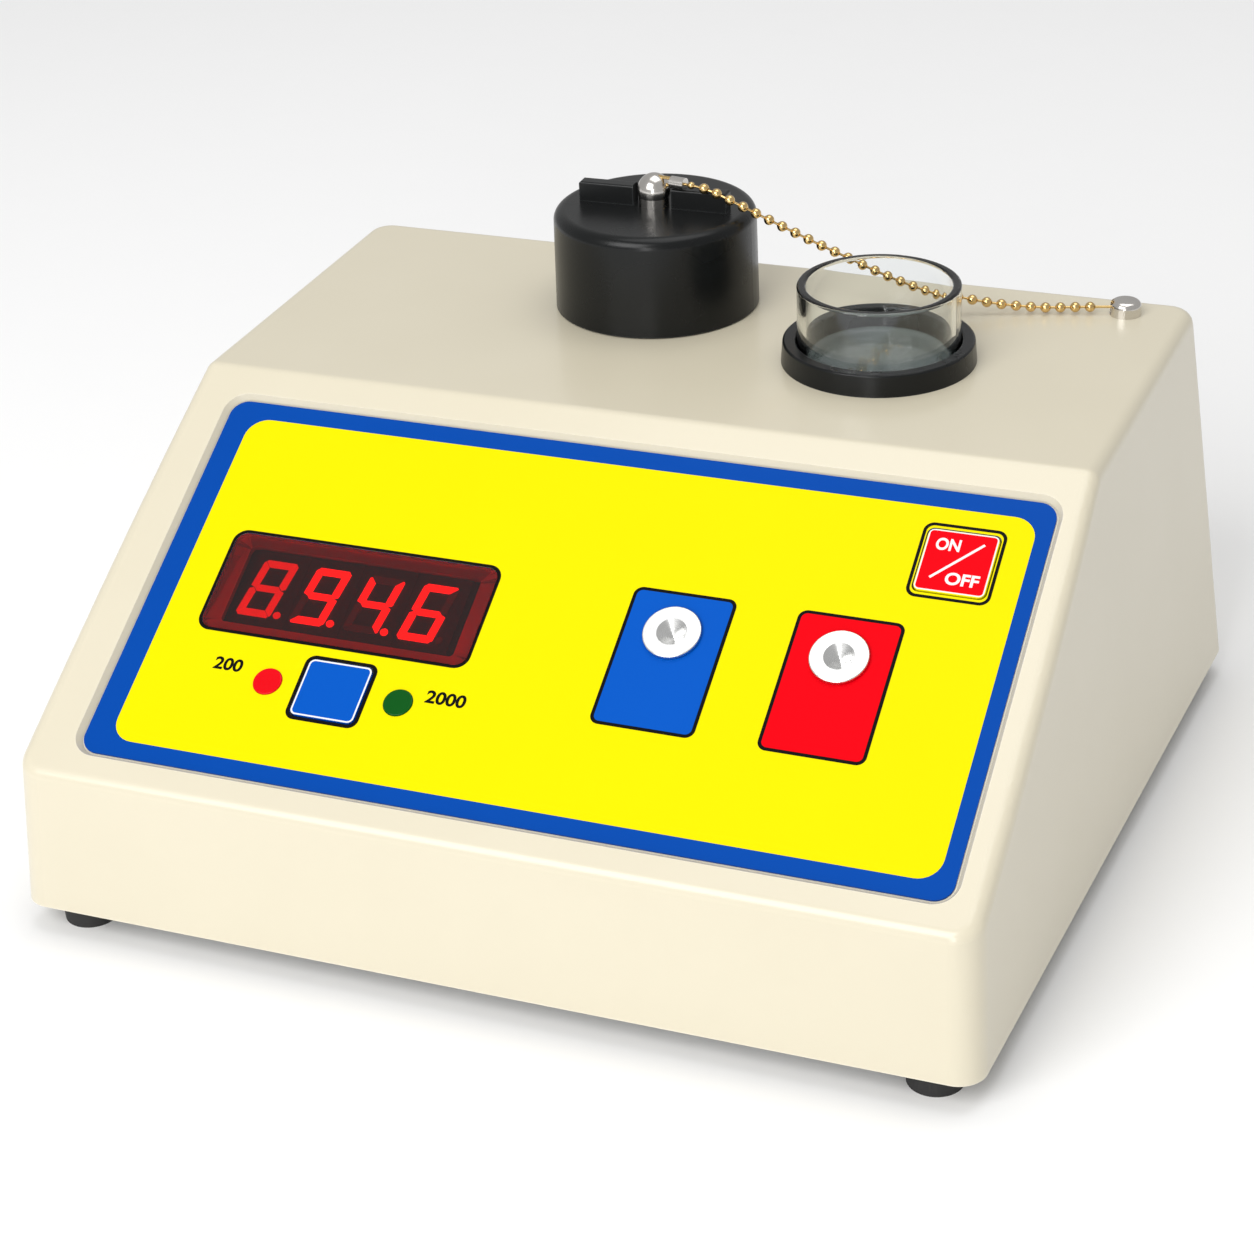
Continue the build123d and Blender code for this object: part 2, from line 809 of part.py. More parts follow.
# Chamber that holds the tube, with a light bore from the left and one towards the front
with BuildPart() as chamber_block:
    with BuildSketch(Plane.XY.offset(plate_top)) as chamber_outline:
        with Locations((well_x, well_y)):
            Rectangle(2 * chamber_half, 2 * chamber_half)
        fillet(chamber_outline.vertices(), chamber_corner)
    extrude(amount=chamber_top - plate_top)
    with BuildSketch(Plane.XY.offset(tube_foot_level - slide_gap)):
        with Locations((well_x, well_y)):
            Circle(well_radius)
    extrude(amount=deck_level, mode=Mode.SUBTRACT)
    with BuildSketch(Plane.XY.offset(plate_top)):
        with Locations(*chamber_screw_points):
            Circle(column_pilot / 2)
    extrude(amount=chamber_pilot_depth, mode=Mode.SUBTRACT)
    for beam in (source_beam, detector_beam):
        with BuildSketch(beam):
            Circle(beam_bore / 2 + fit_gap)
        extrude(amount=-beam_step, mode=Mode.SUBTRACT)
        with BuildSketch(beam):
            Circle(beam_window / 2)
        extrude(amount=-chamber_half, mode=Mode.SUBTRACT)
    with BuildSketch(detector_beam):
        with Locations(*detector_screw_points):
            Circle(small_screw / 2 + pin_gap)
    extrude(amount=-detector_screw_reach, mode=Mode.SUBTRACT)
save(chamber_block, "chamber_block")

with BuildPart() as chamber_screws:
    with BuildSketch(Plane.XY.offset(plate_low)):
        with Locations(*chamber_screw_points):
            Circle(base_head / 2)
    extrude(amount=-base_head_height)
    with BuildSketch(Plane.XY.offset(plate_low)):
        with Locations(*chamber_screw_points):
            Circle(column_pilot / 2 - pin_gap)
    extrude(amount=plate_thickness + chamber_pilot_depth - slide_gap)
save(chamber_screws, "chamber_screws")

# Light source: lens against the shoulder, bulb and the flanged holder behind it
with BuildPart() as source_lens:
    with BuildSketch(source_beam.offset(-beam_step)):
        Circle(beam_bore / 2)
    extrude(amount=lens_thickness)
    fillet(source_lens.faces().sort_by(Axis.X)[-1].edges(), lens_thickness * 0.4)
save(source_lens, "source_lens")

spigot_length = beam_step - lens_thickness
with BuildPart() as source_holder:
    with BuildSketch(source_beam.offset(-spigot_length)):
        Circle(beam_bore / 2)
    extrude(amount=spigot_length)
    with BuildSketch(source_beam):
        Circle(holder_flange_radius)
    extrude(amount=holder_flange_length)
    with BuildSketch(source_beam.offset(holder_flange_length)):
        Circle(bulb_diameter / 2 + fit_gap)
    extrude(amount=-holder_flange_length - spigot_length, mode=Mode.SUBTRACT)
save(source_holder, "source_holder")

with BuildPart() as source_lamp:
    with BuildSketch(source_beam.offset(-spigot_length + slide_gap)):
        Circle(bulb_diameter / 2)
    extrude(amount=spigot_length + holder_flange_length)
    fillet(source_lamp.faces().sort_by(Axis.X)[-1].edges(), bulb_diameter * 0.45)
save(source_lamp, "source_lamp")

# Detector: metal can in its bore, on a small board screwed to the chamber
with BuildPart() as detector:
    with BuildSketch(detector_beam):
        Circle(beam_bore / 2)
    extrude(amount=-detector_can_length)
save(detector, "detector")

with BuildPart() as detector_board:
    with BuildSketch(detector_beam):
        Rectangle(detector_board_size[0], detector_board_size[1])
        with Locations(*detector_screw_points):
            Circle(small_screw / 2 + slide_gap, mode=Mode.SUBTRACT)
    extrude(amount=board_thickness)
save(detector_board, "detector_board")

with BuildPart() as detector_screws:
    with BuildSketch(detector_beam.offset(board_thickness)):
        with Locations(*detector_screw_points):
            Circle(small_head / 2)
    extrude(amount=small_head_height)
    with BuildSketch(detector_beam.offset(board_thickness)):
        with Locations(*detector_screw_points):
            Circle(small_screw / 2)
    extrude(amount=-board_thickness - detector_screw_reach + slide_gap)
save(detector_screws, "detector_screws")

# Light cap: a hollow cover with a grip bar across its top
cap_level = deck_level + slide_gap
cap_top = cap_level + cap_height
cap_axis = Axis((cap_x, cap_y, 0), (0, 0, 1))
with BuildPart() as light_cap:
    with BuildSketch(Plane.XZ.offset(-cap_y)):
        with BuildLine():
            Polyline(
                (cap_x, cap_top),
                (cap_x, cap_top - cap_top_wall),
                (cap_x + cap_top_radius - cap_wall, cap_top - cap_top_wall),
                (cap_x + cap_radius - cap_wall, cap_level),
                (cap_x + cap_radius, cap_level),
                (cap_x + cap_top_radius, cap_top),
                close=True,
            )
        make_face()
    revolve(axis=cap_axis)
    cap_rim = light_cap.edges().filter_by(GeomType.CIRCLE).group_by(Axis.Z)[-1]
    fillet(cap_rim, cap_edge)
    with BuildSketch(Plane.XY.offset(cap_top)):
        with Locations(Location((cap_x, cap_y), grip_turn)):
            Rectangle(grip_length, grip_thickness)
        with Locations((cap_x, cap_y)):
            Circle(grip_eye, mode=Mode.SUBTRACT)
    extrude(amount=grip_height)
    fillet(light_cap.faces().group_by(Axis.Z)[-1].edges().filter_by(GeomType.LINE), grip_edge)
    with BuildSketch(Plane.XY.offset(cap_top)):
        with Locations((cap_x, cap_y)):
            Circle(knob_screw / 2 + fit_gap)
    extrude(amount=-cap_top_wall, mode=Mode.SUBTRACT)
save(light_cap, "light_cap")

# Ball knob on a short skirt, drilled for its screw and for the wire loop
ball_rise = sqrt(knob_radius**2 - knob_skirt_radius**2)
loop_level = cap_top + grip_height + ferrule_gap + ferrule_diameter / 2
loop_out = Vector(cos(radians(loop_turn)), sin(radians(loop_turn)), 0)
loop_plane = Plane(
    origin=(cap_x, cap_y, loop_level),
    x_dir=loop_out,
    z_dir=(-loop_out.Y, loop_out.X, 0),
)
loop_end = ferrule_start + loop_grip


def loop_wire_path():
    """Line of the wire loop: in along one leg, round inside the ball and out along the other."""
    with BuildLine(loop_plane) as path:
        Line((loop_end, loop_half), (loop_start, loop_half))
        ThreePointArc((loop_start, loop_half), (loop_start - loop_half, 0), (loop_start, -loop_half))
        Line((loop_start, -loop_half), (loop_end, -loop_half))
    return path.line


def loop_section(radius):
    """Round section at the start of the loop."""
    start = loop_plane.location * Pos(loop_end, loop_half, 0)
    with BuildSketch(Plane(origin=start.position, z_dir=loop_out)) as section:
        Circle(radius)
    return section.sketch


with BuildPart() as cap_knob:
    with BuildSketch(Plane.XZ.offset(-cap_y)):
        with BuildLine():
            Polyline(
                (cap_x, cap_top),
                (cap_x + knob_skirt_radius, cap_top),
                (cap_x + knob_skirt_radius, cap_top + knob_centre - ball_rise),
            )
            ThreePointArc(
                (cap_x + knob_skirt_radius, cap_top + knob_centre - ball_rise),
                (cap_x + knob_radius, cap_top + knob_centre),
                (cap_x, cap_top + knob_centre + knob_radius),
            )
            Line((cap_x, cap_top + knob_centre + knob_radius), (cap_x, cap_top))
        make_face()
    revolve(axis=cap_axis)
    with BuildSketch(Plane.XY.offset(cap_top)):
        with Locations((cap_x, cap_y)):
            Circle(knob_screw / 2 + pin_gap)
    extrude(amount=knob_screw_reach, mode=Mode.SUBTRACT)
    sweep(loop_section(loop_wire / 2 + press_gap), path=loop_wire_path(), mode=Mode.SUBTRACT)
save(cap_knob, "cap_knob")

# Screw that holds the knob from inside the cap
with BuildPart() as cap_screw:
    with BuildSketch(Plane.XY.offset(cap_top - cap_top_wall)):
        with Locations((cap_x, cap_y)):
            Circle(knob_screw_head / 2)
    extrude(amount=-knob_screw_head_height)
    with BuildSketch(Plane.XY.offset(cap_top - cap_top_wall)):
        with Locations((cap_x, cap_y)):
            Circle(knob_screw / 2)
    extrude(amount=cap_top_wall + knob_screw_reach - slide_gap)
save(cap_screw, "cap_screw")

# Wire loop and the ferrule pressed round it
with BuildPart() as chain_ring:
    sweep(loop_section(loop_wire / 2), path=loop_wire_path())
save(chain_ring, "chain_ring")

ferrule_plane = Plane(origin=(cap_x, cap_y, loop_level), x_dir=(0, 0, 1), z_dir=loop_out)
with BuildPart() as chain_ferrule:
    with BuildSketch(ferrule_plane.offset(ferrule_start)):
        Circle(ferrule_diameter / 2)
        with Locations((loop_half, 0), (-loop_half, 0)):
            Circle(loop_wire / 2 + press_gap, mode=Mode.SUBTRACT)
    extrude(amount=loop_grip)
    with BuildSketch(ferrule_plane.offset(loop_end)):
        Circle(ferrule_diameter / 2)
    extrude(amount=ferrule_length - loop_grip)
save(chain_ferrule, "chain_ferrule")

# Bead chain as a plain tube, from the ferrule past the grip bar and down to its anchor
deck_point = Vector(cap_x, cap_y, deck_level)
chain_points = [deck_point + Vector(*point) for point in chain_middle]
chain_begin = Vector(cap_x, cap_y, loop_level) + loop_out * (ferrule_start + ferrule_length)
anchor_point = Vector(anchor_x, anchor_y, deck_level + chain_anchor_rise)
chain_way = (anchor_point - Vector(chain_points[0].X, chain_points[0].Y, anchor_point.Z)).normalized()
chain_end = anchor_point - chain_way * (anchor_flat + pin_gap)
chain_route = [chain_begin, chain_begin + loop_out * chain_lead]
chain_route += chain_points
chain_route += [chain_end - chain_way * chain_tail, chain_end]
chain_radii = []
for before, corner, after in zip(chain_route, chain_route[1:], chain_route[2:]):
    run = min((corner - before).length, (after - corner).length)
    turn = (corner - before).get_angle(after - corner)
    chain_radii.append(0.45 * run / tan(radians(turn / 2)))
print("chain radii", [round(radius, 1) for radius in chain_radii])
print("chain runs", [round((b - a).length, 1) for a, b in zip(chain_route, chain_route[1:])])
with BuildPart() as chain:
    with BuildLine() as chain_line:
        FilletPolyline(*chain_route, radius=chain_radii)
    with BuildSketch(Plane(origin=chain_begin, z_dir=loop_out)):
        Circle(chain_diameter / 2)
    sweep(path=chain_line.line)
chain_length = sum(edge.length for edge in chain_line.edges())
print("chain length", round(chain_length, 2), "volume", round(chain.part.volume, 2))
print("section times length", round(pi * chain_diameter**2 / 4 * chain_length, 2))
save(chain, "chain")

# Round-edged anchor with a stem through the deck and an open slot for the end of the chain
anchor_cut = Plane(
    origin=(anchor_x, anchor_y, deck_level),
    x_dir=(-chain_way.Y, chain_way.X, 0),
    z_dir=(0, 0, 1),
)
with BuildPart() as chain_anchor:
    with BuildSketch(Plane.XY.offset(deck_level)):
        with Locations((anchor_x, anchor_y)):
            Circle(anchor_radius)
    extrude(amount=anchor_height)
    fillet(chain_anchor.faces().sort_by(Axis.Z)[-1].edges(), anchor_edge)
    with BuildSketch(Plane.XY.offset(deck_level)):
        with Locations((anchor_x, anchor_y)):
            Circle(anchor_stem / 2)
    extrude(amount=-anchor_stem_reach - wall)
    with BuildSketch(anchor_cut.offset(chain_anchor_rise - chain_diameter / 2 - slide_gap)):
        with Locations((0, anchor_flat + anchor_radius)):
            Rectangle(anchor_slot, 2 * anchor_radius)
    extrude(amount=anchor_height, mode=Mode.SUBTRACT)
save(chain_anchor, "chain_anchor")

with BuildPart() as anchor_nut:
    with BuildSketch(Plane.XY.offset(roof_level)):
        with Locations((anchor_x, anchor_y)):
            RegularPolygon(nut_radius, 6)
            Circle(anchor_stem / 2 + press_gap, mode=Mode.SUBTRACT)
    extrude(amount=-nut_height)
save(anchor_nut, "anchor_nut")

# Main board on four standoffs swaged into the base plate
with BuildPart() as board_standoffs:
    with BuildSketch(Plane.XY.offset(plate_top)):
        with Locations(*standoff_points):
            RegularPolygon(standoff_radius, 6)
    extrude(amount=standoff_height)
    with BuildSketch(Plane.XY.offset(plate_low)):
        with Locations(*standoff_points):
            Circle(base_screw / 2)
    extrude(amount=plate_thickness)
    with BuildSketch(Plane.XY.offset(board_low)):
        with Locations(*standoff_points):
            Circle(small_screw / 2 + pin_gap)
    extrude(amount=-standoff_height, mode=Mode.SUBTRACT)
save(board_standoffs, "board_standoffs")

with BuildPart() as main_board:
    with BuildSketch(Plane.XY.offset(board_low)):
        with Locations((0, main_board_y)):
            Rectangle(main_board_width, main_board_depth)
        with Locations(*standoff_points):
            Circle(small_screw / 2 + slide_gap, mode=Mode.SUBTRACT)
    extrude(amount=board_thickness)
save(main_board, "main_board")

with BuildPart() as board_screws:
    with BuildSketch(Plane.XY.offset(board_top)):
        with Locations(*standoff_points):
            Circle(small_head / 2)
    extrude(amount=small_head_height)
    with BuildSketch(Plane.XY.offset(board_top)):
        with Locations(*standoff_points):
            Circle(small_screw / 2)
    extrude(amount=-board_thickness - standoff_height + 2 * slide_gap)
save(board_screws, "board_screws")

# Chips with their legs
chip_points = [(x, front_y + y) for x, y in chip_places]
with BuildPart() as control_chips:
    with BuildSketch(Plane.XY.offset(board_top + chip_lift)):
        with Locations(*chip_points):
            Rectangle(chip_size[0], chip_size[1])
    extrude(amount=chip_size[2])
    with BuildSketch(Plane.XY.offset(board_top)):
        for chip_x, chip_y in chip_points:
            for side in (-1, 1):
                with Locations((chip_x, chip_y + side * (chip_size[1] + chip_leg) / 2)):
                    with GridLocations(chip_pitch, 0, chip_leg_rows, 1):
                        Rectangle(chip_leg, chip_leg)
    extrude(amount=chip_lift + chip_size[2] / 2)
save(control_chips, "control_chips")

# Capacitors, upright cans with a rounded top edge
with BuildPart() as smoothing_capacitors:
    with BuildSketch(Plane.XY.offset(board_top)):
        with Locations(*[(x, front_y + y) for x, y in capacitor_places]):
            Circle(capacitor_diameter / 2)
    extrude(amount=capacitor_height)
    fillet(smoothing_capacitors.edges().group_by(Axis.Z)[-1], capacitor_diameter * 0.06)
save(smoothing_capacitors, "smoothing_capacitors")

# Open sockets for the leads between the boards
with BuildPart() as board_sockets:
    with BuildSketch(Plane.XY.offset(board_top)):
        with Locations(*[(x, front_y + y) for x, y in socket_places]):
            Rectangle(socket_size[0], socket_size[1])
    extrude(amount=socket_size[2])
    with BuildSketch(Plane.XY.offset(board_top + 2 * socket_wall)):
        with Locations(*[(x, front_y + y) for x, y in socket_places]):
            Rectangle(socket_size[0] - 2 * socket_wall, socket_size[1] - 2 * socket_wall)
    extrude(amount=socket_size[2], mode=Mode.SUBTRACT)
save(board_sockets, "board_sockets")

# Regulator standing on its legs against a finned heat sink
regulator_x = regulator_place[0]
regulator_y = front_y + regulator_place[1]
with BuildPart() as regulator:
    with BuildSketch(Plane.XY.offset(board_top + regulator_lift)):
        with Locations((regulator_x, regulator_y - regulator_size[1] / 2)):
            Rectangle(regulator_size[0], regulator_size[1])
    extrude(amount=regulator_size[2])
    with BuildSketch(Plane.XY.offset(board_top)):
        with Locations((regulator_x, regulator_y - regulator_size[1] / 2)):
            with GridLocations(regulator_leg_pitch, 0, 3, 1):
                Rectangle(regulator_leg, regulator_leg)
    extrude(amount=regulator_lift)
save(regulator, "regulator")

fin_pitch = (heat_sink_base[0] - heat_sink_fin[0]) / (heat_sink_fins - 1)
with BuildPart() as heat_sink:
    with BuildSketch(Plane.XY.offset(board_top)):
        with Locations((regulator_x, regulator_y + heat_sink_base[1] / 2)):
            Rectangle(heat_sink_base[0], heat_sink_base[1])
        with Locations((regulator_x, regulator_y + heat_sink_base[1] + heat_sink_fin[1] / 2)):
            with GridLocations(fin_pitch, 0, heat_sink_fins, 1):
                Rectangle(heat_sink_fin[0], heat_sink_fin[1])
    extrude(amount=heat_sink_base[2])
save(heat_sink, "heat_sink")

# Transformer: laminated core, winding in its windows and a strap over it
core_plane = Plane(origin=(transformer_x, transformer_y, plate_top), x_dir=(1, 0, 0), z_dir=(0, -1, 0))
leg_width = (core_width - 2 * core_window_width) / 4
window_centre = leg_width + core_window_width / 2
with BuildPart() as transformer_core:
    with BuildSketch(core_plane.offset(-core_stack / 2)):
        with Locations((0, core_height / 2)):
            Rectangle(core_width, core_height)
        with Locations((-window_centre, core_height / 2), (window_centre, core_height / 2)):
            Rectangle(core_window_width, core_window_height, mode=Mode.SUBTRACT)
    extrude(amount=core_stack)
save(transformer_core, "transformer_core")

coil_plane = Plane.XY.offset(plate_top + (core_height - core_window_height) / 2 + coil_gap)
coil_outer = leg_width + core_window_width - coil_gap
with BuildPart() as transformer_winding:
    with BuildSketch(coil_plane):
        with Locations((transformer_x, transformer_y)):
            RectangleRounded(2 * coil_outer, core_stack + 2 * core_window_width, coil_corner)
            Rectangle(2 * (leg_width + coil_gap), core_stack + 2 * coil_gap, mode=Mode.SUBTRACT)
    extrude(amount=core_window_height - 2 * coil_gap)
save(transformer_winding, "transformer_winding")

strap_inner = core_width / 2 + strap_gap
strap_outer = strap_inner + strap_thickness
strap_top = core_height + strap_gap
with BuildPart() as transformer_strap:
    with BuildSketch(core_plane.offset(-strap_width / 2)):
        with BuildLine():
            Polyline(
                (-strap_outer - strap_foot, 0),
                (-strap_inner, 0),
                (-strap_inner, strap_top),
                (strap_inner, strap_top),
                (strap_inner, 0),
                (strap_outer + strap_foot, 0),
                (strap_outer + strap_foot, strap_thickness),
                (strap_outer, strap_thickness),
                (strap_outer, strap_top + strap_thickness),
                (-strap_outer, strap_top + strap_thickness),
                (-strap_outer, strap_thickness),
                (-strap_outer - strap_foot, strap_thickness),
                close=True,
            )
        make_face()
    extrude(amount=strap_width)
    with BuildSketch(Plane.XY.offset(plate_top)):
        with Locations(*strap_screw_points):
            Circle(base_screw / 2 + fit_gap)
    extrude(amount=strap_thickness, mode=Mode.SUBTRACT)
save(transformer_strap, "transformer_strap")

with BuildPart() as transformer_screws:
    with BuildSketch(Plane.XY.offset(plate_top + strap_thickness)):
        with Locations(*strap_screw_points):
            Circle(base_head / 2)
    extrude(amount=base_head_height)
    with BuildSketch(Plane.XY.offset(plate_top + strap_thickness)):
        with Locations(*strap_screw_points):
            Circle(base_screw / 2)
    extrude(amount=-strap_thickness - plate_thickness)
save(transformer_screws, "transformer_screws")

# Mains inlet: flange on the rear wall, body through it and an open socket with three pins
inlet_face = rear_wall.offset(inlet_flange[2])
inlet_centre = (-inlet_x, inlet_level)
with BuildPart() as mains_inlet:
    with BuildSketch(rear_wall):
        with Locations(inlet_centre):
            RectangleRounded(inlet_flange[0], inlet_flange[1], inlet_flange_corner)
        with Locations(*inlet_screw_points):
            Circle(base_screw / 2 + fit_gap, mode=Mode.SUBTRACT)
    extrude(amount=inlet_flange[2])
    with BuildSketch(rear_wall):
        with Locations(inlet_centre):
            Rectangle(inlet_body[0], inlet_body[1])
    extrude(amount=-inlet_body_length)
    with BuildSketch(inlet_face) as socket_outline:
        with Locations(inlet_centre):
            Rectangle(inlet_socket[0], inlet_socket[1])
        chamfer(socket_outline.vertices().group_by(Axis.Z)[-1], inlet_corner)
    extrude(amount=-inlet_socket[2], mode=Mode.SUBTRACT)
    pin_points = [
        (inlet_centre[0] - inlet_pin_spread, inlet_centre[1] - inlet_pin_offset),
        (inlet_centre[0], inlet_centre[1] + inlet_pin_offset),
        (inlet_centre[0] + inlet_pin_spread, inlet_centre[1] - inlet_pin_offset),
    ]
    with BuildSketch(rear_wall.offset(-inlet_body_length)):
        with Locations(*pin_points):
            Rectangle(inlet_pin[0] + 2 * press_gap, inlet_pin[1] + 2 * press_gap)
    extrude(amount=inlet_body_length, mode=Mode.SUBTRACT)
save(mains_inlet, "mains_inlet")

pin_front = inlet_flange[2] - inlet_socket[2] + inlet_pin_reach
with BuildPart() as inlet_pins:
    with BuildSketch(rear_wall.offset(-inlet_body_length - inlet_pin_tail)):
        with Locations(*pin_points):
            Rectangle(inlet_pin[0], inlet_pin[1])
    extrude(amount=inlet_body_length + inlet_pin_tail + pin_front)
save(inlet_pins, "inlet_pins")

with BuildPart() as inlet_screws:
    with BuildSketch(inlet_face):
        with Locations(*inlet_screw_points):
            Circle(inlet_head / 2)
    extrude(amount=inlet_head_height)
    with BuildSketch(inlet_face):
        with Locations(*inlet_screw_points):
            Circle(base_screw / 2)
    extrude(amount=-inlet_screw_length)
save(inlet_screws, "inlet_screws")

# Fuse holder beside the inlet, with a slotted cap outside
with BuildPart() as fuse_holder:
    with BuildSketch(rear_wall):
        with Locations((-fuse_x, inlet_level)):
            Circle(fuse_cap_radius)
    extrude(amount=fuse_cap_length)
    fillet(fuse_holder.faces().sort_by(Axis.Y)[-1].edges(), fuse_cap_edge)
    with BuildSketch(rear_wall):
        with Locations((-fuse_x, inlet_level)):
            Circle(fuse_body_radius)
    extrude(amount=-fuse_body_length)
    with BuildSketch(rear_wall.offset(fuse_cap_length)):
        with Locations((-fuse_x, inlet_level)):
            Rectangle(2 * fuse_cap_radius, fuse_slot[0])
    extrude(amount=-fuse_slot[1], mode=Mode.SUBTRACT)
save(fuse_holder, "fuse_holder")
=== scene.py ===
from math import cos, pi, radians, sin, tan

import bmesh
import bpy
from mathutils import Matrix, Vector


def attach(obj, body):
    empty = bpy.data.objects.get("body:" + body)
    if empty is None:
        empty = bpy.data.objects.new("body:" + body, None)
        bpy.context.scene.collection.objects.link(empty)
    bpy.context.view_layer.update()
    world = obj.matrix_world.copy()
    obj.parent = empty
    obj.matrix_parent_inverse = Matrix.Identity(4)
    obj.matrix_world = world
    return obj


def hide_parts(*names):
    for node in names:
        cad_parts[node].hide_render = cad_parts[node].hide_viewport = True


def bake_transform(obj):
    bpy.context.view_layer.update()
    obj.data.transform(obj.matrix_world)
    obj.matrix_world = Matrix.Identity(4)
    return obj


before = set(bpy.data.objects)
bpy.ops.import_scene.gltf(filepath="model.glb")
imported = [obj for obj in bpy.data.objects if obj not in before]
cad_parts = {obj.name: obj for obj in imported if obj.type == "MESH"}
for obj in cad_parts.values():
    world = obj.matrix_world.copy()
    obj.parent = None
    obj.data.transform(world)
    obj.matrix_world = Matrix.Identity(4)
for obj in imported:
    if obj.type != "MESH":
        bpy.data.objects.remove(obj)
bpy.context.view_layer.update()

# Places on the meter, in millimetres, turned to metres where a piece is made
mm = 0.001
well_place = (42.9, 40.75)
cap_place = (-16.5, 59.65)
anchor_place = (89.2, 81.05)
slope_start = Vector((0, -96.95, 38.8)) * mm
slope_up = Vector((0, 0.869772, 0.493455))
slope_out = Vector((0, -0.493455, 0.869772))
film_face = -1.1
ink_step = 0.03
key_face = -0.8
segment_face = -3.4

# Camera at the photographer's place
camera_data = bpy.data.cameras.new("camera")
camera = bpy.data.objects.new("camera", camera_data)
bpy.context.scene.collection.objects.link(camera)
bpy.context.scene.camera = camera
camera_data.sensor_width = 36
camera_data.lens = 83.86
camera_place = Vector((0.21508, -0.53500, 0.34804))
camera_right = Vector((0.93244, 0.35942, -0.03696))
camera_up = Vector((-0.13964, 0.45281, 0.88060))
camera_back = Vector((0.33324, -0.81595, 0.47241))
camera_turn = Matrix((camera_right, camera_up, camera_back)).transposed().to_4x4()
camera.matrix_world = Matrix.Translation(camera_place) @ camera_turn


def link_mesh(mesh, name):
    """A finished mesh as a piece of its own."""
    piece = bpy.data.objects.new(name, mesh)
    bpy.context.scene.collection.objects.link(piece)
    return piece


def smooth(piece):
    """Round shading over the whole piece."""
    for face in piece.data.polygons:
        face.use_smooth = True
    return piece


def lathe(shape, profile, centre, axis, steps=32):
    """Turn a profile of (radius, height) pairs round an axis, inside an open bmesh."""
    axis = Vector(axis).normalized()
    side = axis.orthogonal().normalized()
    front = axis.cross(side)
    rings = []
    for radius, height in profile:
        middle = Vector(centre) + axis * height
        if radius <= 0:
            rings.append([shape.verts.new(middle)])
            continue
        ring = []
        for step in range(steps):
            turn = 2 * pi * step / steps
            ring.append(shape.verts.new(middle + (side * cos(turn) + front * sin(turn)) * radius))
        rings.append(ring)
    for low, high in zip(rings, rings[1:]):
        for step in range(steps):
            following = (step + 1) % steps
            if len(low) == 1 and len(high) == 1:
                continue
            if len(low) == 1:
                shape.faces.new((low[0], high[following], high[step]))
            elif len(high) == 1:
                shape.faces.new((low[step], low[following], high[0]))
            else:
                shape.faces.new((low[step], low[following], high[following], high[step]))


# Bead chain: the line it hangs on, from the ferrule to the slot of its anchor
chain_route = [
    (-8.326, 58.209, 122.05),
    (-3.500, 57.358, 122.05),
    (2.6, 56.28, 120.2),
    (12.5, 59.62, 114.4),
    (27.5, 63.81, 106.3),
    (42.5, 68.0, 99.3),
    (56.5, 71.91, 95.3),
    (70.5, 75.82, 93.7),
    (78.960, 78.121, 94.05),
    (86.652, 80.321, 94.05),
]
chain_diameter = 2.4
bead_pitch = 3.35
first_bead = 1.6
small_bead = 0.85
link_wire = 0.34


def chain_points():
    """Points along the smooth line of the chain, in metres."""
    line = bpy.data.curves.new("chain_line", "CURVE")
    line.dimensions = "3D"
    line.resolution_u = 24
    spline = line.splines.new("NURBS")
    spline.points.add(len(chain_route) - 1)
    for point, place in zip(spline.points, chain_route):
        point.co = (*(Vector(place) * mm), 1)
    spline.order_u = 3
    spline.use_endpoint_u = True
    carrier = bpy.data.objects.new("chain_line", line)
    bpy.context.scene.collection.objects.link(carrier)
    bpy.context.view_layer.update()
    mesh = bpy.data.meshes.new_from_object(carrier)
    points = [vertex.co.copy() for vertex in mesh.vertices]
    bpy.data.objects.remove(carrier)
    bpy.data.meshes.remove(mesh)
    return points


def along(points, distance):
    """Place and direction at one distance along a line of points."""
    for start, end in zip(points, points[1:]):
        run = (end - start).length
        if distance <= run:
            return start + (end - start) * (distance / run), (end - start).normalized()
        distance -= run
    return points[-1], (points[-1] - points[-2]).normalized()


def bead_profile(radius):
    """A hollow bead: nearly round, with a small lip where the wire comes out at each end."""
    hole = 0.42 * mm
    profile = [(hole * 0.8, -radius * 0.90), (hole, -radius * 0.97)]
    for step in range(1, 12):
        turn = -pi / 2 + pi * step / 12
        reach = radius * cos(turn)
        if reach > hole:
            profile.append((reach, radius * sin(turn)))
    profile += [(hole, radius * 0.97), (hole * 0.8, radius * 0.90)]
    return profile


hanging_line = chain_points()
line_length = sum((b - a).length for a, b in zip(hanging_line, hanging_line[1:]))
bead_places = [first_bead * mm]
while bead_places[-1] + (bead_pitch + 2.4) * mm < line_length:
    bead_places.append(bead_places[-1] + bead_pitch * mm)
links = bmesh.new()
wire_ends = [0, *bead_places, line_length]
for number, place in enumerate(bead_places):
    centre, direction = along(hanging_line, place)
    radius = small_bead * mm if number == 0 else chain_diameter / 2 * mm
    lathe(links, bead_profile(radius), centre, direction, 20)
for start, end in zip(wire_ends, wire_ends[1:]):
    begin, _ = along(hanging_line, start)
    finish, _ = along(hanging_line, end)
    reach = (finish - begin).length
    waist = link_wire * mm
    lathe(links, [(waist, 0), (waist * 0.86, reach / 2), (waist, reach)], begin, finish - begin, 10)
chain_mesh = bpy.data.meshes.new("bead_chain")
links.to_mesh(chain_mesh)
links.free()
bead_chain = smooth(link_mesh(chain_mesh, "bead_chain"))
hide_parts("chain")
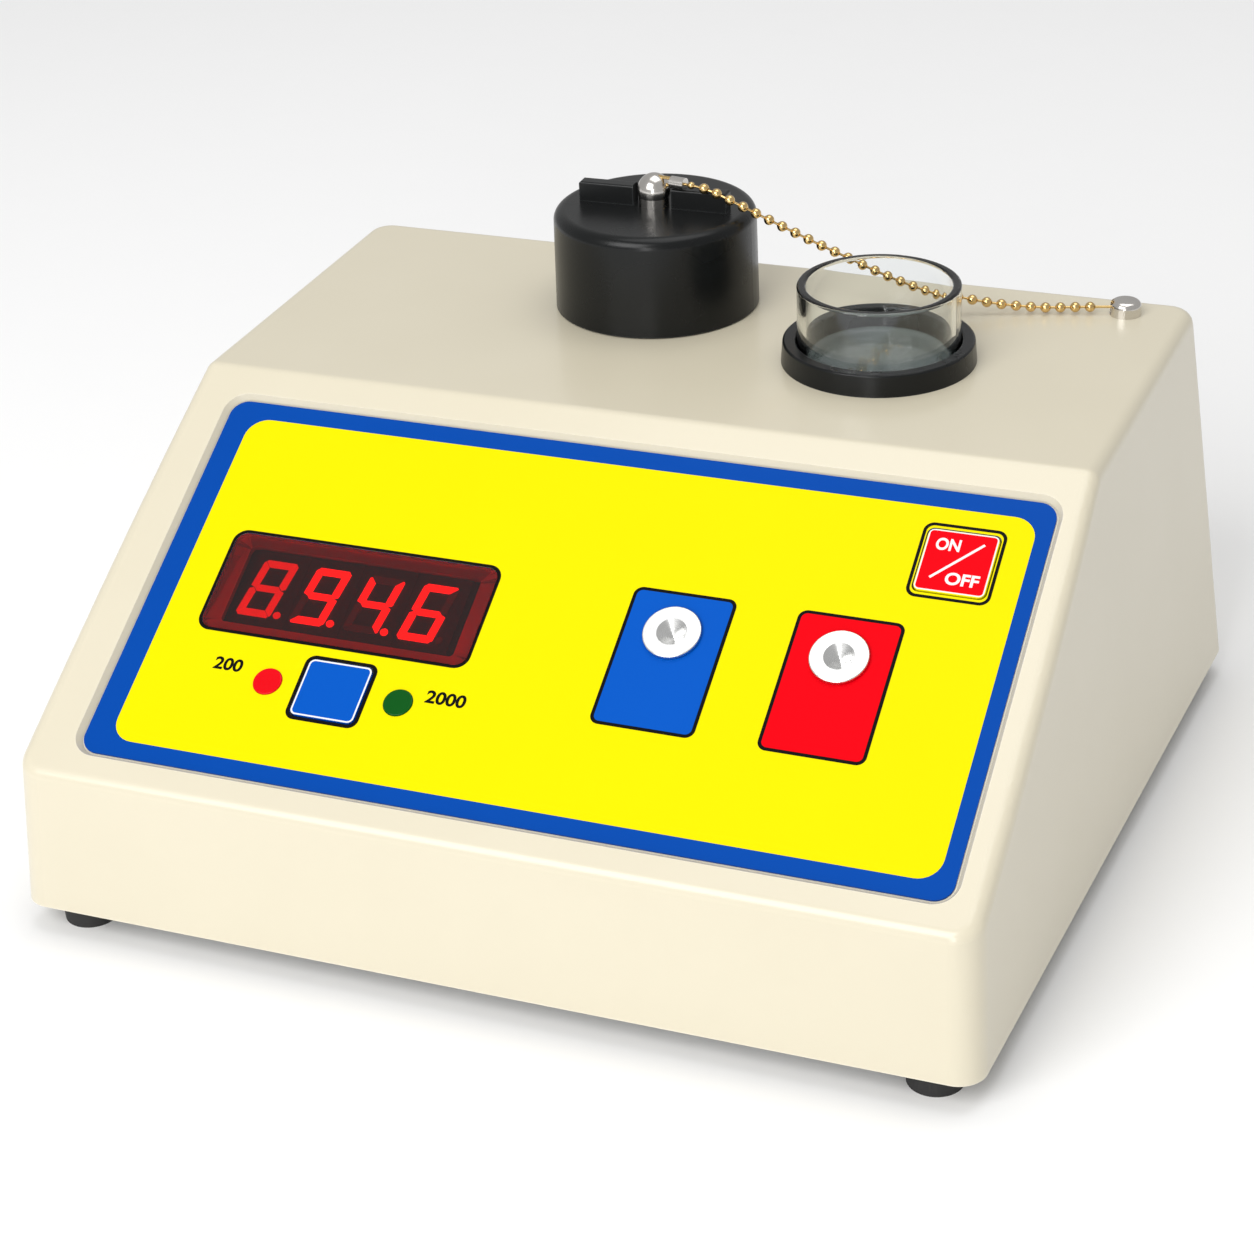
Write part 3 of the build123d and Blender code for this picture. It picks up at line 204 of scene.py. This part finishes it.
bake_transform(bead_chain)


def shader_group(name, inputs, outputs):
    """An empty node group with named inputs and outputs."""
    group = bpy.data.node_groups.new(name, "ShaderNodeTree")
    for label, kind, value in inputs:
        socket = group.interface.new_socket(label, in_out="INPUT", socket_type="NodeSocket" + kind)
        socket.default_value = value
    for label, kind in outputs:
        group.interface.new_socket(label, in_out="OUTPUT", socket_type="NodeSocket" + kind)
    entry = group.nodes.new("NodeGroupInput")
    leave = group.nodes.new("NodeGroupOutput")
    return group, entry, leave


def node(tree, kind, **settings):
    """One shader node with its plain settings."""
    made = tree.nodes.new("ShaderNode" + kind)
    for key, value in settings.items():
        setattr(made, key, value)
    return made


def math(tree, operation, first, second=None):
    """A sum of two values or of a socket and a value."""
    made = node(tree, "Math", operation=operation)
    for slot, value in zip(made.inputs, (first, second)):
        if isinstance(value, bpy.types.NodeSocket):
            tree.links.new(value, slot)
        elif value is not None:
            slot.default_value = value
    return made.outputs[0]


def noise(tree, scale, detail=3.0, place=None):
    """Cloudy noise over the piece, at a scale that may come from a socket."""
    made = node(tree, "TexNoise")
    made.inputs["Detail"].default_value = detail
    if place is None:
        place = node(tree, "TexCoord").outputs["Object"]
    tree.links.new(place, made.inputs["Vector"])
    if isinstance(scale, bpy.types.NodeSocket):
        tree.links.new(scale, made.inputs["Scale"])
    else:
        made.inputs["Scale"].default_value = scale
    return made.outputs["Fac"]


def blend_colours(tree, mask, first, second):
    """First colour where the mask is 0, second where it is 1."""
    made = node(tree, "Mix", data_type="RGBA")
    tree.links.new(mask, made.inputs["Factor"])
    for slot, value in ((made.inputs[6], first), (made.inputs[7], second)):
        if isinstance(value, bpy.types.NodeSocket):
            tree.links.new(value, slot)
        else:
            slot.default_value = (*value, 1)
    return made.outputs[2]


# Colour that drifts a little over a moulding
mottle, entry, leave = shader_group(
    "mottle",
    [("Colour", "Color", (1, 1, 1, 1)), ("Drift Colour", "Color", (1, 1, 1, 1)), ("Scale", "Float", 30.0)],
    [("Colour", "Color")],
)
drift = noise(mottle, entry.outputs["Scale"], 4.0)
drifted = blend_colours(mottle, drift, entry.outputs["Colour"], entry.outputs["Drift Colour"])
mottle.links.new(drifted, leave.inputs["Colour"])

# Fine spark-eroded grain of a mould, as a height and as a change of gloss
mould_grain, entry, leave = shader_group(
    "mould_grain",
    [("Scale", "Float", 1500.0), ("Roughness", "Float", 0.4), ("Spread", "Float", 0.06)],
    [("Height", "Float"), ("Roughness", "Float")],
)
fine = noise(mould_grain, entry.outputs["Scale"], 2.0)
broad = noise(mould_grain, math(mould_grain, "MULTIPLY", entry.outputs["Scale"], 0.04), 3.0)
mould_grain.links.new(fine, leave.inputs["Height"])
swing = math(mould_grain, "MULTIPLY", math(mould_grain, "SUBTRACT", broad, 0.5), entry.outputs["Spread"])
grain_roughness = math(mould_grain, "ADD", entry.outputs["Roughness"], swing)
mould_grain.links.new(grain_roughness, leave.inputs["Roughness"])

# Edges painted paler as a painted highlight, found where the surface turns within a short reach
painted_edge_sheen, entry, leave = shader_group(
    "painted_edge_sheen",
    [("Amount", "Float", 0.3), ("Scale", "Float", 200.0), ("Reach", "Float", 0.0006)],
    [("Mask", "Float")],
)
eased = node(painted_edge_sheen, "Bevel", samples=6)
painted_edge_sheen.links.new(entry.outputs["Reach"], eased.inputs["Radius"])
agreement = node(painted_edge_sheen, "VectorMath", operation="DOT_PRODUCT")
painted_edge_sheen.links.new(eased.outputs["Normal"], agreement.inputs[0])
painted_edge_sheen.links.new(node(painted_edge_sheen, "NewGeometry").outputs["Normal"], agreement.inputs[1])
edge_gain = 12.0
turned_away = math(painted_edge_sheen, "SUBTRACT", 1.0, agreement.outputs["Value"])
lifted = math(painted_edge_sheen, "MULTIPLY", turned_away, edge_gain)
broken = math(painted_edge_sheen, "MULTIPLY", lifted, noise(painted_edge_sheen, entry.outputs["Scale"], 3.0))
sheen_clamp = node(painted_edge_sheen, "Clamp")
measured = math(painted_edge_sheen, "MULTIPLY", broken, entry.outputs["Amount"])
painted_edge_sheen.links.new(measured, sheen_clamp.inputs["Value"])
painted_edge_sheen.links.new(sheen_clamp.outputs[0], leave.inputs["Mask"])

# Rings left by the lathe round one axis
lathe_rings, entry, leave = shader_group(
    "lathe_rings",
    [
        ("Centre", "Vector", (0, 0, 0)),
        ("Axis", "Vector", (0, 0, 1)),
        ("Ring Scale", "Float", 4000.0),
        ("Roughness", "Float", 0.25),
        ("Spread", "Float", 0.15),
    ],
    [("Height", "Float"), ("Roughness", "Float")],
)
away = node(lathe_rings, "VectorMath", operation="SUBTRACT")
lathe_rings.links.new(node(lathe_rings, "TexCoord").outputs["Object"], away.inputs[0])
lathe_rings.links.new(entry.outputs["Centre"], away.inputs[1])
beside_axis = node(lathe_rings, "VectorMath", operation="CROSS_PRODUCT")
lathe_rings.links.new(away.outputs[0], beside_axis.inputs[0])
lathe_rings.links.new(entry.outputs["Axis"], beside_axis.inputs[1])
from_axis = node(lathe_rings, "VectorMath", operation="LENGTH")
lathe_rings.links.new(beside_axis.outputs[0], from_axis.inputs[0])
ring_place = node(lathe_rings, "CombineXYZ")
lathe_rings.links.new(from_axis.outputs["Value"], ring_place.inputs["X"])
rings = noise(lathe_rings, entry.outputs["Ring Scale"], 2.0, ring_place.outputs[0])
lathe_rings.links.new(rings, leave.inputs["Height"])
ring_drift = math(lathe_rings, "SUBTRACT", rings, 0.5)
ring_swing = math(lathe_rings, "MULTIPLY", ring_drift, entry.outputs["Spread"])
ring_roughness = math(lathe_rings, "ADD", entry.outputs["Roughness"], ring_swing)
lathe_rings.links.new(ring_roughness, leave.inputs["Roughness"])


def place_group(tree, group, **values):
    """A shader group placed in a material with that material's own values."""
    made = tree.nodes.new("ShaderNodeGroup")
    made.node_tree = group
    for label, value in values.items():
        made.inputs[label.replace("_", " ")].default_value = value
    return made


def new_material(name):
    """An empty material with its surface shader."""
    material = bpy.data.materials.new(name)
    material.use_nodes = True
    tree = material.node_tree
    return material, tree, tree.nodes["Principled BSDF"]


def add_bump(tree, surface, height, depth):
    """Fine relief from a height."""
    bump = node(tree, "Bump")
    bump.inputs["Strength"].default_value = 1.0
    bump.inputs["Distance"].default_value = depth * mm
    tree.links.new(height, bump.inputs["Height"])
    tree.links.new(bump.outputs["Normal"], surface.inputs["Normal"])


def moulded(
    name,
    colour,
    drift_colour=None,
    roughness=0.4,
    spread=0.06,
    grain=1500.0,
    depth=0.01,
    sheen_colour=None,
    sheen_amount=0.3,
    gloss=0.0,
    shine=0.5,
):
    """Plastic, rubber, ink or laminate: drifting colour, mould grain and, where given, edges painted paler
    as a painted highlight.
    """
    material, tree, surface = new_material(name)
    drift_colour = drift_colour or tuple(0.88 * part for part in colour)
    clouds = place_group(tree, mottle, Colour=(*colour, 1), Drift_Colour=(*drift_colour, 1), Scale=45.0)
    skin = place_group(tree, mould_grain, Scale=grain, Roughness=roughness, Spread=spread)
    shade = clouds.outputs["Colour"]
    # Where an edge colour is given, the edges are painted paler as a painted highlight
    if sheen_colour:
        sheen_node = place_group(tree, painted_edge_sheen, Amount=sheen_amount)
        shade = blend_colours(tree, sheen_node.outputs["Mask"], shade, sheen_colour)
    tree.links.new(shade, surface.inputs["Base Color"])
    tree.links.new(skin.outputs["Roughness"], surface.inputs["Roughness"])
    surface.inputs["Specular IOR Level"].default_value = shine
    surface.inputs["Coat Weight"].default_value = gloss
    surface.inputs["Coat Roughness"].default_value = 0.12
    add_bump(tree, surface, skin.outputs["Height"], depth)
    return material


def ink(name, colour, drift_colour, shine, spread=0.04):
    """Printing ink or dyed film: flat, with a very fine grain and hardly any gloss."""
    return moulded(name, colour, drift_colour, 0.42, spread, 2200.0, 0.003, shine=shine)


def metal(
    name,
    colour,
    roughness=0.25,
    spread=0.12,
    centre=None,
    axis=(0, 0, 1),
    ring_scale=4000.0,
    depth=0.004,
):
    """Metal with lathe rings round a centre, or with rolled grain where no centre is given."""
    material, tree, surface = new_material(name)
    dull = tuple(0.8 * part for part in colour)
    tone = place_group(tree, mottle, Colour=(*colour, 1), Drift_Colour=(*dull, 1), Scale=120.0)
    if centre is None:
        skin = place_group(tree, mould_grain, Scale=900.0, Roughness=roughness, Spread=spread)
    else:
        rings_at = {"Centre": centre, "Axis": axis, "Ring_Scale": ring_scale}
        skin = place_group(tree, lathe_rings, Roughness=roughness, Spread=spread, **rings_at)
    tree.links.new(tone.outputs["Colour"], surface.inputs["Base Color"])
    tree.links.new(skin.outputs["Roughness"], surface.inputs["Roughness"])
    surface.inputs["Metallic"].default_value = 1.0
    add_bump(tree, surface, skin.outputs["Height"], depth)
    return material


def clear(name, colour, roughness, ior, transmission=1.0):
    """Glass, filter or water."""
    material, tree, surface = new_material(name)
    paler = tuple(min(1.0, 1.04 * part) for part in colour)
    tone = place_group(tree, mottle, Colour=(*colour, 1), Drift_Colour=(*paler, 1), Scale=60.0)
    tree.links.new(tone.outputs["Colour"], surface.inputs["Base Color"])
    surface.inputs["Roughness"].default_value = roughness
    surface.inputs["IOR"].default_value = ior
    surface.inputs["Transmission Weight"].default_value = transmission
    return material


def glowing(name, colour, strength, body_colour):
    """A display bar that gives light, a little uneven from end to end."""
    material, tree, surface = new_material(name)
    uneven = place_group(
        tree, mottle, Colour=(*colour, 1), Drift_Colour=(*[0.7 * part for part in colour], 1), Scale=300.0
    )
    tree.links.new(uneven.outputs["Colour"], surface.inputs["Emission Color"])
    surface.inputs["Emission Strength"].default_value = strength
    surface.inputs["Base Color"].default_value = (*body_colour, 1)
    surface.inputs["Roughness"].default_value = 0.5
    return material


def on_panel(across, up, level):
    """A place on the sloping panel, in metres, from millimetres across, up and out of it."""
    return slope_start + (Vector((1, 0, 0)) * across + slope_up * up + slope_out * level) * mm


disc_places = {"zero": (25.9, 56.3), "calibration": (61.4, 56.4)}
# Cream housing; its edges are painted paler as a painted highlight
cream = moulded(
    "housing_cream",
    (0.680, 0.625, 0.485),
    (0.655, 0.600, 0.460),
    roughness=0.30,
    spread=0.05,
    grain=900.0,
    depth=0.006,
    sheen_colour=(0.84, 0.79, 0.66),
    sheen_amount=0.5,
    gloss=0.3,
)
film_blue = ink("film_blue", (0.0, 0.060, 0.350), (0.0, 0.055, 0.330), 0.06)
ink_yellow = ink("ink_yellow", (0.80, 0.70, 0.0), (0.78, 0.68, 0.0), 0.04)
ink_red = ink("ink_red", (0.76, 0.0, 0.005), (0.72, 0.0, 0.006), 0.04)
ink_blue = ink("ink_blue", (0.0, 0.085, 0.470), (0.0, 0.080, 0.450), 0.06)
ink_black = ink("ink_black", (0.003, 0.003, 0.003), (0.005, 0.005, 0.005), 0.06, 0.05)
ink_white = ink("ink_white", (0.78, 0.79, 0.80), (0.75, 0.76, 0.77), 0.2)
# Black cap; its edges are painted paler and bluish as a painted highlight
cap_black = moulded(
    "cap_black",
    (0.0030, 0.0036, 0.0038),
    (0.0050, 0.0058, 0.0060),
    roughness=0.28,
    spread=0.10,
    grain=1700.0,
    depth=0.012,
    sheen_colour=(0.030, 0.034, 0.035),
    sheen_amount=0.4,
    shine=0.28,
)
module_black = moulded("module_black", (0.012, 0.008, 0.008), None, 0.5, 0.05, 1800.0, 0.008)
# Paler colour painted on the edges of the dark plastic parts, as a painted highlight
dark_sheen_colour = (0.07, 0.07, 0.07)
dark_plastic = moulded("dark_plastic", (0.018, 0.018, 0.019), None, 0.45, 0.08, 1600.0, 0.012, dark_sheen_colour)
foot_rubber = moulded("foot_rubber", (0.014, 0.014, 0.015), (0.026, 0.025, 0.024), 0.72, 0.10, 1100.0, 0.03)
lens_finish = {"roughness": 0.24, "spread": 0.04, "grain": 1500.0, "depth": 0.002, "shine": 0.15}
lamp_red = moulded("lamp_red", (0.72, 0.0, 0.006), (0.66, 0.0, 0.005), **lens_finish)
lamp_green = moulded("lamp_green", (0.0, 0.085, 0.006), (0.0, 0.070, 0.005), **lens_finish)
board_green = moulded("board_green", (0.030, 0.210, 0.085), (0.020, 0.160, 0.065), 0.38, 0.10, 500.0, 0.02)
copper_winding = moulded("copper_winding", (0.42, 0.15, 0.05), (0.30, 0.10, 0.04), 0.35, 0.10, 2600.0, 0.06)
steel = metal("steel", (0.60, 0.60, 0.58), 0.32)
plate_metal = metal("plate_metal", (0.62, 0.63, 0.64), 0.42, 0.18)
can_metal = metal("can_metal", (0.70, 0.70, 0.72), 0.28)
core_steel = metal("core_steel", (0.26, 0.25, 0.24), 0.50, 0.2)
brass = metal("chain_brass", (0.83, 0.58, 0.25), 0.17, 0.10)
nickel_tone = (0.74, 0.71, 0.67)
cap_axis = (cap_place[0] * mm, cap_place[1] * mm, 0)
anchor_axis = (anchor_place[0] * mm, anchor_place[1] * mm, 0)
nickel = metal("nickel", nickel_tone, 0.20, 0.10, cap_axis, ring_scale=5000.0)
anchor_nickel = metal("anchor_nickel", nickel_tone, 0.20, 0.10, anchor_axis, ring_scale=5000.0)
glass = clear("tube_glass", (0.95, 0.975, 0.97), 0.02, 1.47)
red_filter = clear("red_filter", (0.50, 0.0, 0.0), 0.06, 1.49)
lens_glass = clear("lens_glass", (0.92, 0.95, 0.95), 0.05, 1.5)
sample = clear("sample_water", (0.42, 0.50, 0.48), 0.03, 1.33, 0.75)
lit = glowing("lit_segment", (1.0, 0.004, 0.004), 4.5, (0.6, 0.02, 0.02))
faint = glowing("faint_segment", (1.0, 0.004, 0.004), 1.7, (0.35, 0.01, 0.01))
unlit = moulded("unlit_segment", (0.16, 0.006, 0.006), (0.13, 0.005, 0.005), 0.5)
disc_metal = {
    name: metal(
        name + "_disc_metal", (0.83, 0.83, 0.82), 0.27, 0.16, on_panel(*place, 0), slope_out, 6000.0, 0.004
    )
    for name, place in disc_places.items()
}

node_finishes = {
    cream: ["housing"],
    film_blue: ["panel_overlay"],
    red_filter: ["display_window"],
    module_black: ["digit_modules"],
    ink_blue: ["range_key"],
    ink_yellow: ["power_key"],
    lamp_red: ["red_lamp"],
    lamp_green: ["green_lamp"],
    disc_metal["zero"]: ["zero_knob"],
    disc_metal["calibration"]: ["calibration_knob"],
    board_green: ["panel_board", "main_board", "detector_board"],
    plate_metal: ["base_plate", "transformer_strap", "heat_sink"],
    foot_rubber: ["feet"],
    cap_black: ["light_cap", "well_collar"],
    glass: ["sample_tube"],
    lens_glass: ["source_lens", "panel_lamps", "source_lamp"],
    nickel: ["cap_knob", "chain_ferrule"],
    brass: ["chain_ring"],
    anchor_nickel: ["chain_anchor"],
    can_metal: ["smoothing_capacitors", "detector"],
    core_steel: ["transformer_core"],
    copper_winding: ["transformer_winding"],
    steel: [
        "zero_shaft",
        "calibration_shaft",
        "panel_board_screws",
        "base_screws",
        "foot_screws",
        "foot_nuts",
        "chamber_screws",
        "detector_screws",
        "cap_screw",
        "anchor_nut",
        "board_standoffs",
        "board_screws",
        "transformer_screws",
        "inlet_pins",
        "inlet_screws",
    ],
    dark_plastic: [
        "key_switches",
        "zero_pot",
        "calibration_pot",
        "chamber_block",
        "source_holder",
        "control_chips",
        "board_sockets",
        "regulator",
        "mains_inlet",
        "fuse_holder",
    ],
}
for finish, names in node_finishes.items():
    for name in names:
        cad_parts[name].data.materials.clear()
        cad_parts[name].data.materials.append(finish)
bead_chain.data.materials.append(brass)


def rounded(place, size, radius, steps=8):
    """Outline of a rectangle with round corners, in millimetres."""
    points = []
    for side_x, side_y, start in ((1, 1, 0), (-1, 1, 90), (-1, -1, 180), (1, -1, 270)):
        corner_x = place[0] + side_x * (size[0] / 2 - radius)
        corner_y = place[1] + side_y * (size[1] / 2 - radius)
        for step in range(steps + 1):
            turn = radians(start + 90 * step / steps)
            points.append((corner_x + radius * cos(turn), corner_y + radius * sin(turn)))
    return points


def ring_of(place, radius, steps=48):
    """Outline of a circle, in millimetres."""
    return [
        (place[0] + radius * cos(2 * pi * step / steps), place[1] + radius * sin(2 * pi * step / steps))
        for step in range(steps)
    ]


def lay_on_panel(curve, name, level, finish, body):
    """Turn a flat curve into a thin mesh on the panel, riding on its body."""
    carrier = bpy.data.objects.new(name + "_flat", curve)
    bpy.context.scene.collection.objects.link(carrier)
    bpy.context.view_layer.update()
    mesh = bpy.data.meshes.new_from_object(carrier)
    bpy.data.objects.remove(carrier)
    for vertex in mesh.vertices:
        vertex.co = on_panel(vertex.co.x, vertex.co.y, level + vertex.co.z)
    piece = link_mesh(mesh, name)
    piece.data.materials.clear()
    piece.data.materials.append(finish)
    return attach(piece, body)


def printed(name, outlines, finish, level=film_face, thickness=ink_step, body="base"):
    """A thin flat layer: the first outlines are filled and outlines inside them are left open."""
    flat = bpy.data.curves.new(name + "_flat", "CURVE")
    flat.dimensions = "2D"
    flat.fill_mode = "BOTH"
    flat.extrude = thickness / 2
    for outline in outlines:
        spline = flat.splines.new("POLY")
        spline.points.add(len(outline) - 1)
        for point, (across, up) in zip(spline.points, outline):
            point.co = (across, up, 0, 1)
        spline.use_cyclic_u = True
    return lay_on_panel(flat, name, level + thickness / 2, finish, body)


def lettering(name, words, place, size, finish, level=film_face, body="base"):
    """Plain bold figures or words, centred on a place, with a given width and height in millimetres."""
    text = bpy.data.curves.new(name + "_text", "FONT")
    text.body = words
    text.align_x = "CENTER"
    text.align_y = "CENTER"
    text.offset = 0.03
    carrier = bpy.data.objects.new(name + "_text", text)
    bpy.context.scene.collection.objects.link(carrier)
    bpy.context.view_layer.update()
    mesh = bpy.data.meshes.new_from_object(carrier)
    bpy.data.objects.remove(carrier)
    lows = [min(vertex.co[side] for vertex in mesh.vertices) for side in (0, 1)]
    highs = [max(vertex.co[side] for vertex in mesh.vertices) for side in (0, 1)]
    for vertex in mesh.vertices:
        across = (vertex.co.x - (lows[0] + highs[0]) / 2) * size[0] / (highs[0] - lows[0])
        up = (vertex.co.y - (lows[1] + highs[1]) / 2) * size[1] / (highs[1] - lows[1])
        vertex.co = on_panel(place[0] + across, place[1] + up, level)
    piece = link_mesh(mesh, name)
    piece.data.materials.clear()
    piece.data.materials.append(finish)
    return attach(piece, body)


# Printing on the film
window_place, window_size = (-46.2, 53.5), (61.7, 24.5)
range_place, range_cut = (-41.5, 30.6), (15.1, 14.2)
power_place, power_cut = (79.0, 82.5), (15.6, 15.8)
lamp_places = [(-56.3, 30.5), (-26.3, 30.5)]
hub_hole, lamp_hole = 3.8, 3.26
window_hole = rounded(window_place, window_size, 2.7)
range_hole = rounded(range_place, range_cut, 1.6)
power_hole = rounded(power_place, power_cut, 1.6)
hub_holes = [ring_of(place, hub_hole) for place in disc_places.values()]
lamp_holes = [ring_of(place, lamp_hole) for place in lamp_places]
printed(
    "yellow_field",
    [rounded((3.6, 53.4), (179.0, 84.2), 5.0), window_hole, range_hole, power_hole, *hub_holes, *lamp_holes],
    ink_yellow,
)
inks = film_face + ink_step
printed("window_outline", [rounded(window_place, (63.1, 25.9), 3.2), window_hole], ink_black, inks)
printed("range_outline", [rounded(range_place, (16.6, 15.7), 2.2), range_hole], ink_black, inks)
power_line = [rounded(power_place, (17.5, 18.3), 2.2), rounded(power_place, (16.1, 16.9), 1.6)]
printed("power_outline", power_line, ink_black, inks)
for name, finish, centre in (("zero", ink_blue, (26.0, 49.8)), ("calibration", ink_red, (61.5, 49.9))):
    hole = ring_of(disc_places[name], hub_hole)
    printed(name + "_outline", [rounded(centre, (22.4, 33.4), 2.0), hole], ink_black, inks)
    printed(name + "_patch", [rounded(centre, (20.9, 31.9), 1.3), hole], finish, inks + ink_step)
lettering("low_range_figures", "200", (-66.5, 33.1), (6.6, 3.1), ink_black, inks + ink_step / 2)
lettering("high_range_figures", "2000", (-16.4, 33.1), (8.9, 3.1), ink_black, inks + ink_step / 2)

# Printing on the two keys
printed(
    "range_key_border",
    [rounded(range_place, (14.4, 13.5), 1.3), rounded(range_place, (13.7, 12.8), 1.0)],
    ink_white,
    key_face,
    body="range_key",
)
power_border, power_field = rounded(power_place, (14.6, 14.8), 1.1), rounded(power_place, (14.0, 14.2), 0.8)
printed("power_key_border", [power_border], ink_white, key_face, body="power_key")
printed("power_key_field", [power_field], ink_red, key_face + ink_step, body="power_key")
word_level = key_face + 2.5 * ink_step
lettering("on_word", "ON", (76.3, 86.5), (5.1, 3.0), ink_white, word_level, "power_key")
lettering("off_word", "OFF", (81.1, 78.5), (7.0, 3.0), ink_white, word_level, "power_key")
stroke = [(74.2, 78.4), (74.6, 78.0), (83.9, 87.3), (83.5, 87.7)]
printed("key_stroke", [stroke], ink_white, key_face + 2 * ink_step, body="power_key")

# Display: seven bars to a digit and a point, lit, faint or unlit
digit_height, digit_width, bar_stroke, bar_space, corner_cut = 14.2, 8.1, 1.7, 0.07, 0.7
digit_pitch, digit_shift, bar_depth = 12.6, 0.9, 0.2
point_place = (4.6, -6.1)
lean = tan(radians(8.0))


def bar(flat, side_x=1, side_y=1):
    """One bar of a digit, mirrored where asked and leaned with the digit."""
    return [(x * side_x + y * side_y * lean, y * side_y) for x, y in flat]


edge_x, edge_y = digit_width / 2, digit_height / 2
inner_x, inner_y = edge_x - bar_stroke, edge_y - bar_stroke
tip_x = edge_x - bar_stroke / 2
level_bar = [
    (-edge_x + corner_cut / 2 + bar_space, edge_y - corner_cut / 2),
    (-edge_x + corner_cut, edge_y),
    (edge_x - corner_cut, edge_y),
    (edge_x - corner_cut / 2 - bar_space, edge_y - corner_cut / 2),
    (inner_x - bar_space, inner_y),
    (-inner_x + bar_space, inner_y),
]
upright_bar = [
    (edge_x, edge_y - corner_cut),
    (edge_x - corner_cut / 2, edge_y - corner_cut / 2 - bar_space),
    (inner_x, inner_y - bar_space),
    (inner_x, bar_stroke / 2 + bar_space),
    (tip_x, bar_space),
    (edge_x, corner_cut / 2 + bar_space),
]
middle_bar = [
    (-tip_x + 2 * bar_space, 0),
    (-inner_x + bar_space, bar_stroke / 2 - bar_space),
    (inner_x - bar_space, bar_stroke / 2 - bar_space),
    (tip_x - 2 * bar_space, 0),
    (inner_x - bar_space, bar_space - bar_stroke / 2),
    (-inner_x + bar_space, bar_space - bar_stroke / 2),
]
digit_bars = {
    "top": bar(level_bar),
    "middle": bar(middle_bar),
    "bottom": bar(level_bar, 1, -1),
    "upper_left": bar(upright_bar, -1, 1),
    "upper_right": bar(upright_bar),
    "lower_left": bar(upright_bar, -1, -1),
    "lower_right": bar(upright_bar, 1, -1),
    "point": ring_of(point_place, bar_stroke / 2, 24),
}
dark_bars = [
    set(digit_bars),
    {"lower_left"},
    {"top", "bottom", "lower_left"},
    {"upper_right", "point"},
]
bars_by_glow = {"lit": [], "faint": [], "unlit": []}
for number, dark in enumerate(dark_bars):
    digit_x = window_place[0] + (number - 1.5) * digit_pitch - digit_shift
    for label, outline in digit_bars.items():
        glow = "faint" if number == 0 else "unlit" if label in dark else "lit"
        bars_by_glow[glow].append([(digit_x + x, window_place[1] + y) for x, y in outline])
for glow, finish in (("lit", lit), ("faint", faint), ("unlit", unlit)):
    bars = printed(glow + "_bars", bars_by_glow[glow], finish, segment_face - bar_depth, bar_depth)
    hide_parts("digit_segments")

# Sample in the tube, drawn up a little where it meets the glass
water_low, water_level, water_radius = 28.4, 92.6, 16.05
water = bmesh.new()
water_profile = [(0, water_low), (water_radius - 0.6, water_low), (water_radius, water_low + 0.6)]
water_profile += [(water_radius, water_level + 1.1), (water_radius - 0.25, water_level + 0.45)]
water_profile += [(water_radius - 0.9, water_level + 0.1), (water_radius - 2.0, water_level)]
water_profile += [(0, water_level)]
lathe(
    water,
    [(radius * mm, height * mm) for radius, height in water_profile],
    (well_place[0] * mm, well_place[1] * mm, 0),
    (0, 0, 1),
    64,
)
water_mesh = bpy.data.meshes.new("sample_water")
bmesh.ops.recalc_face_normals(water, faces=water.faces)
water.to_mesh(water_mesh)
water.free()
sample_water = smooth(link_mesh(water_mesh, "sample_water"))
sample_water.data.materials.append(sample)
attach(sample_water, "tube")

# Floor, soft light from the front and from above, and an even pale surround
floor_half = 4
corners = [(x * floor_half, y * floor_half, 0) for x, y in ((-1, -1), (1, -1), (1, 1), (-1, 1))]
floor_mesh = bpy.data.meshes.new("floor")
floor_mesh.from_pydata(corners, [], [(0, 1, 2, 3)])
floor = link_mesh(floor_mesh, "floor")
floor_paper = moulded("floor_paper", (0.93, 0.93, 0.93), (0.92, 0.92, 0.92), 0.9, 0.02, 20.0, 0.0)
floor.data.materials.append(floor_paper)
world = bpy.data.worlds.new("studio")
bpy.context.scene.world = world
world.use_nodes = True
world.node_tree.nodes["Background"].inputs["Color"].default_value = (1, 1, 1, 1)
world.node_tree.nodes["Background"].inputs["Strength"].default_value = 0.5
bpy.context.scene.view_settings.view_transform = "Standard"


def soft_box(name, place, aim, size, power):
    """A soft light of a given width and height pointed at one place."""
    light = bpy.data.lights.new(name, "AREA")
    light.shape = "RECTANGLE"
    light.size, light.size_y = size
    light.energy = power
    lamp = bpy.data.objects.new(name, light)
    bpy.context.scene.collection.objects.link(lamp)
    lamp.location = place
    lamp.rotation_euler = (Vector(aim) - Vector(place)).to_track_quat("-Z", "Y").to_euler()


soft_box("key_light", (-0.35, -1.20, 1.05), (0, 0, 0.05), (1.0, 1.0), 16)
soft_box("top_light", (0.10, 0.25, 1.60), (0, 0, 0.05), (1.2, 1.2), 8)
soft_box("strip_light", (0.16, -0.95, 0.24), (-0.016, 0.06, 0.10), (0.10, 0.45), 1.5)
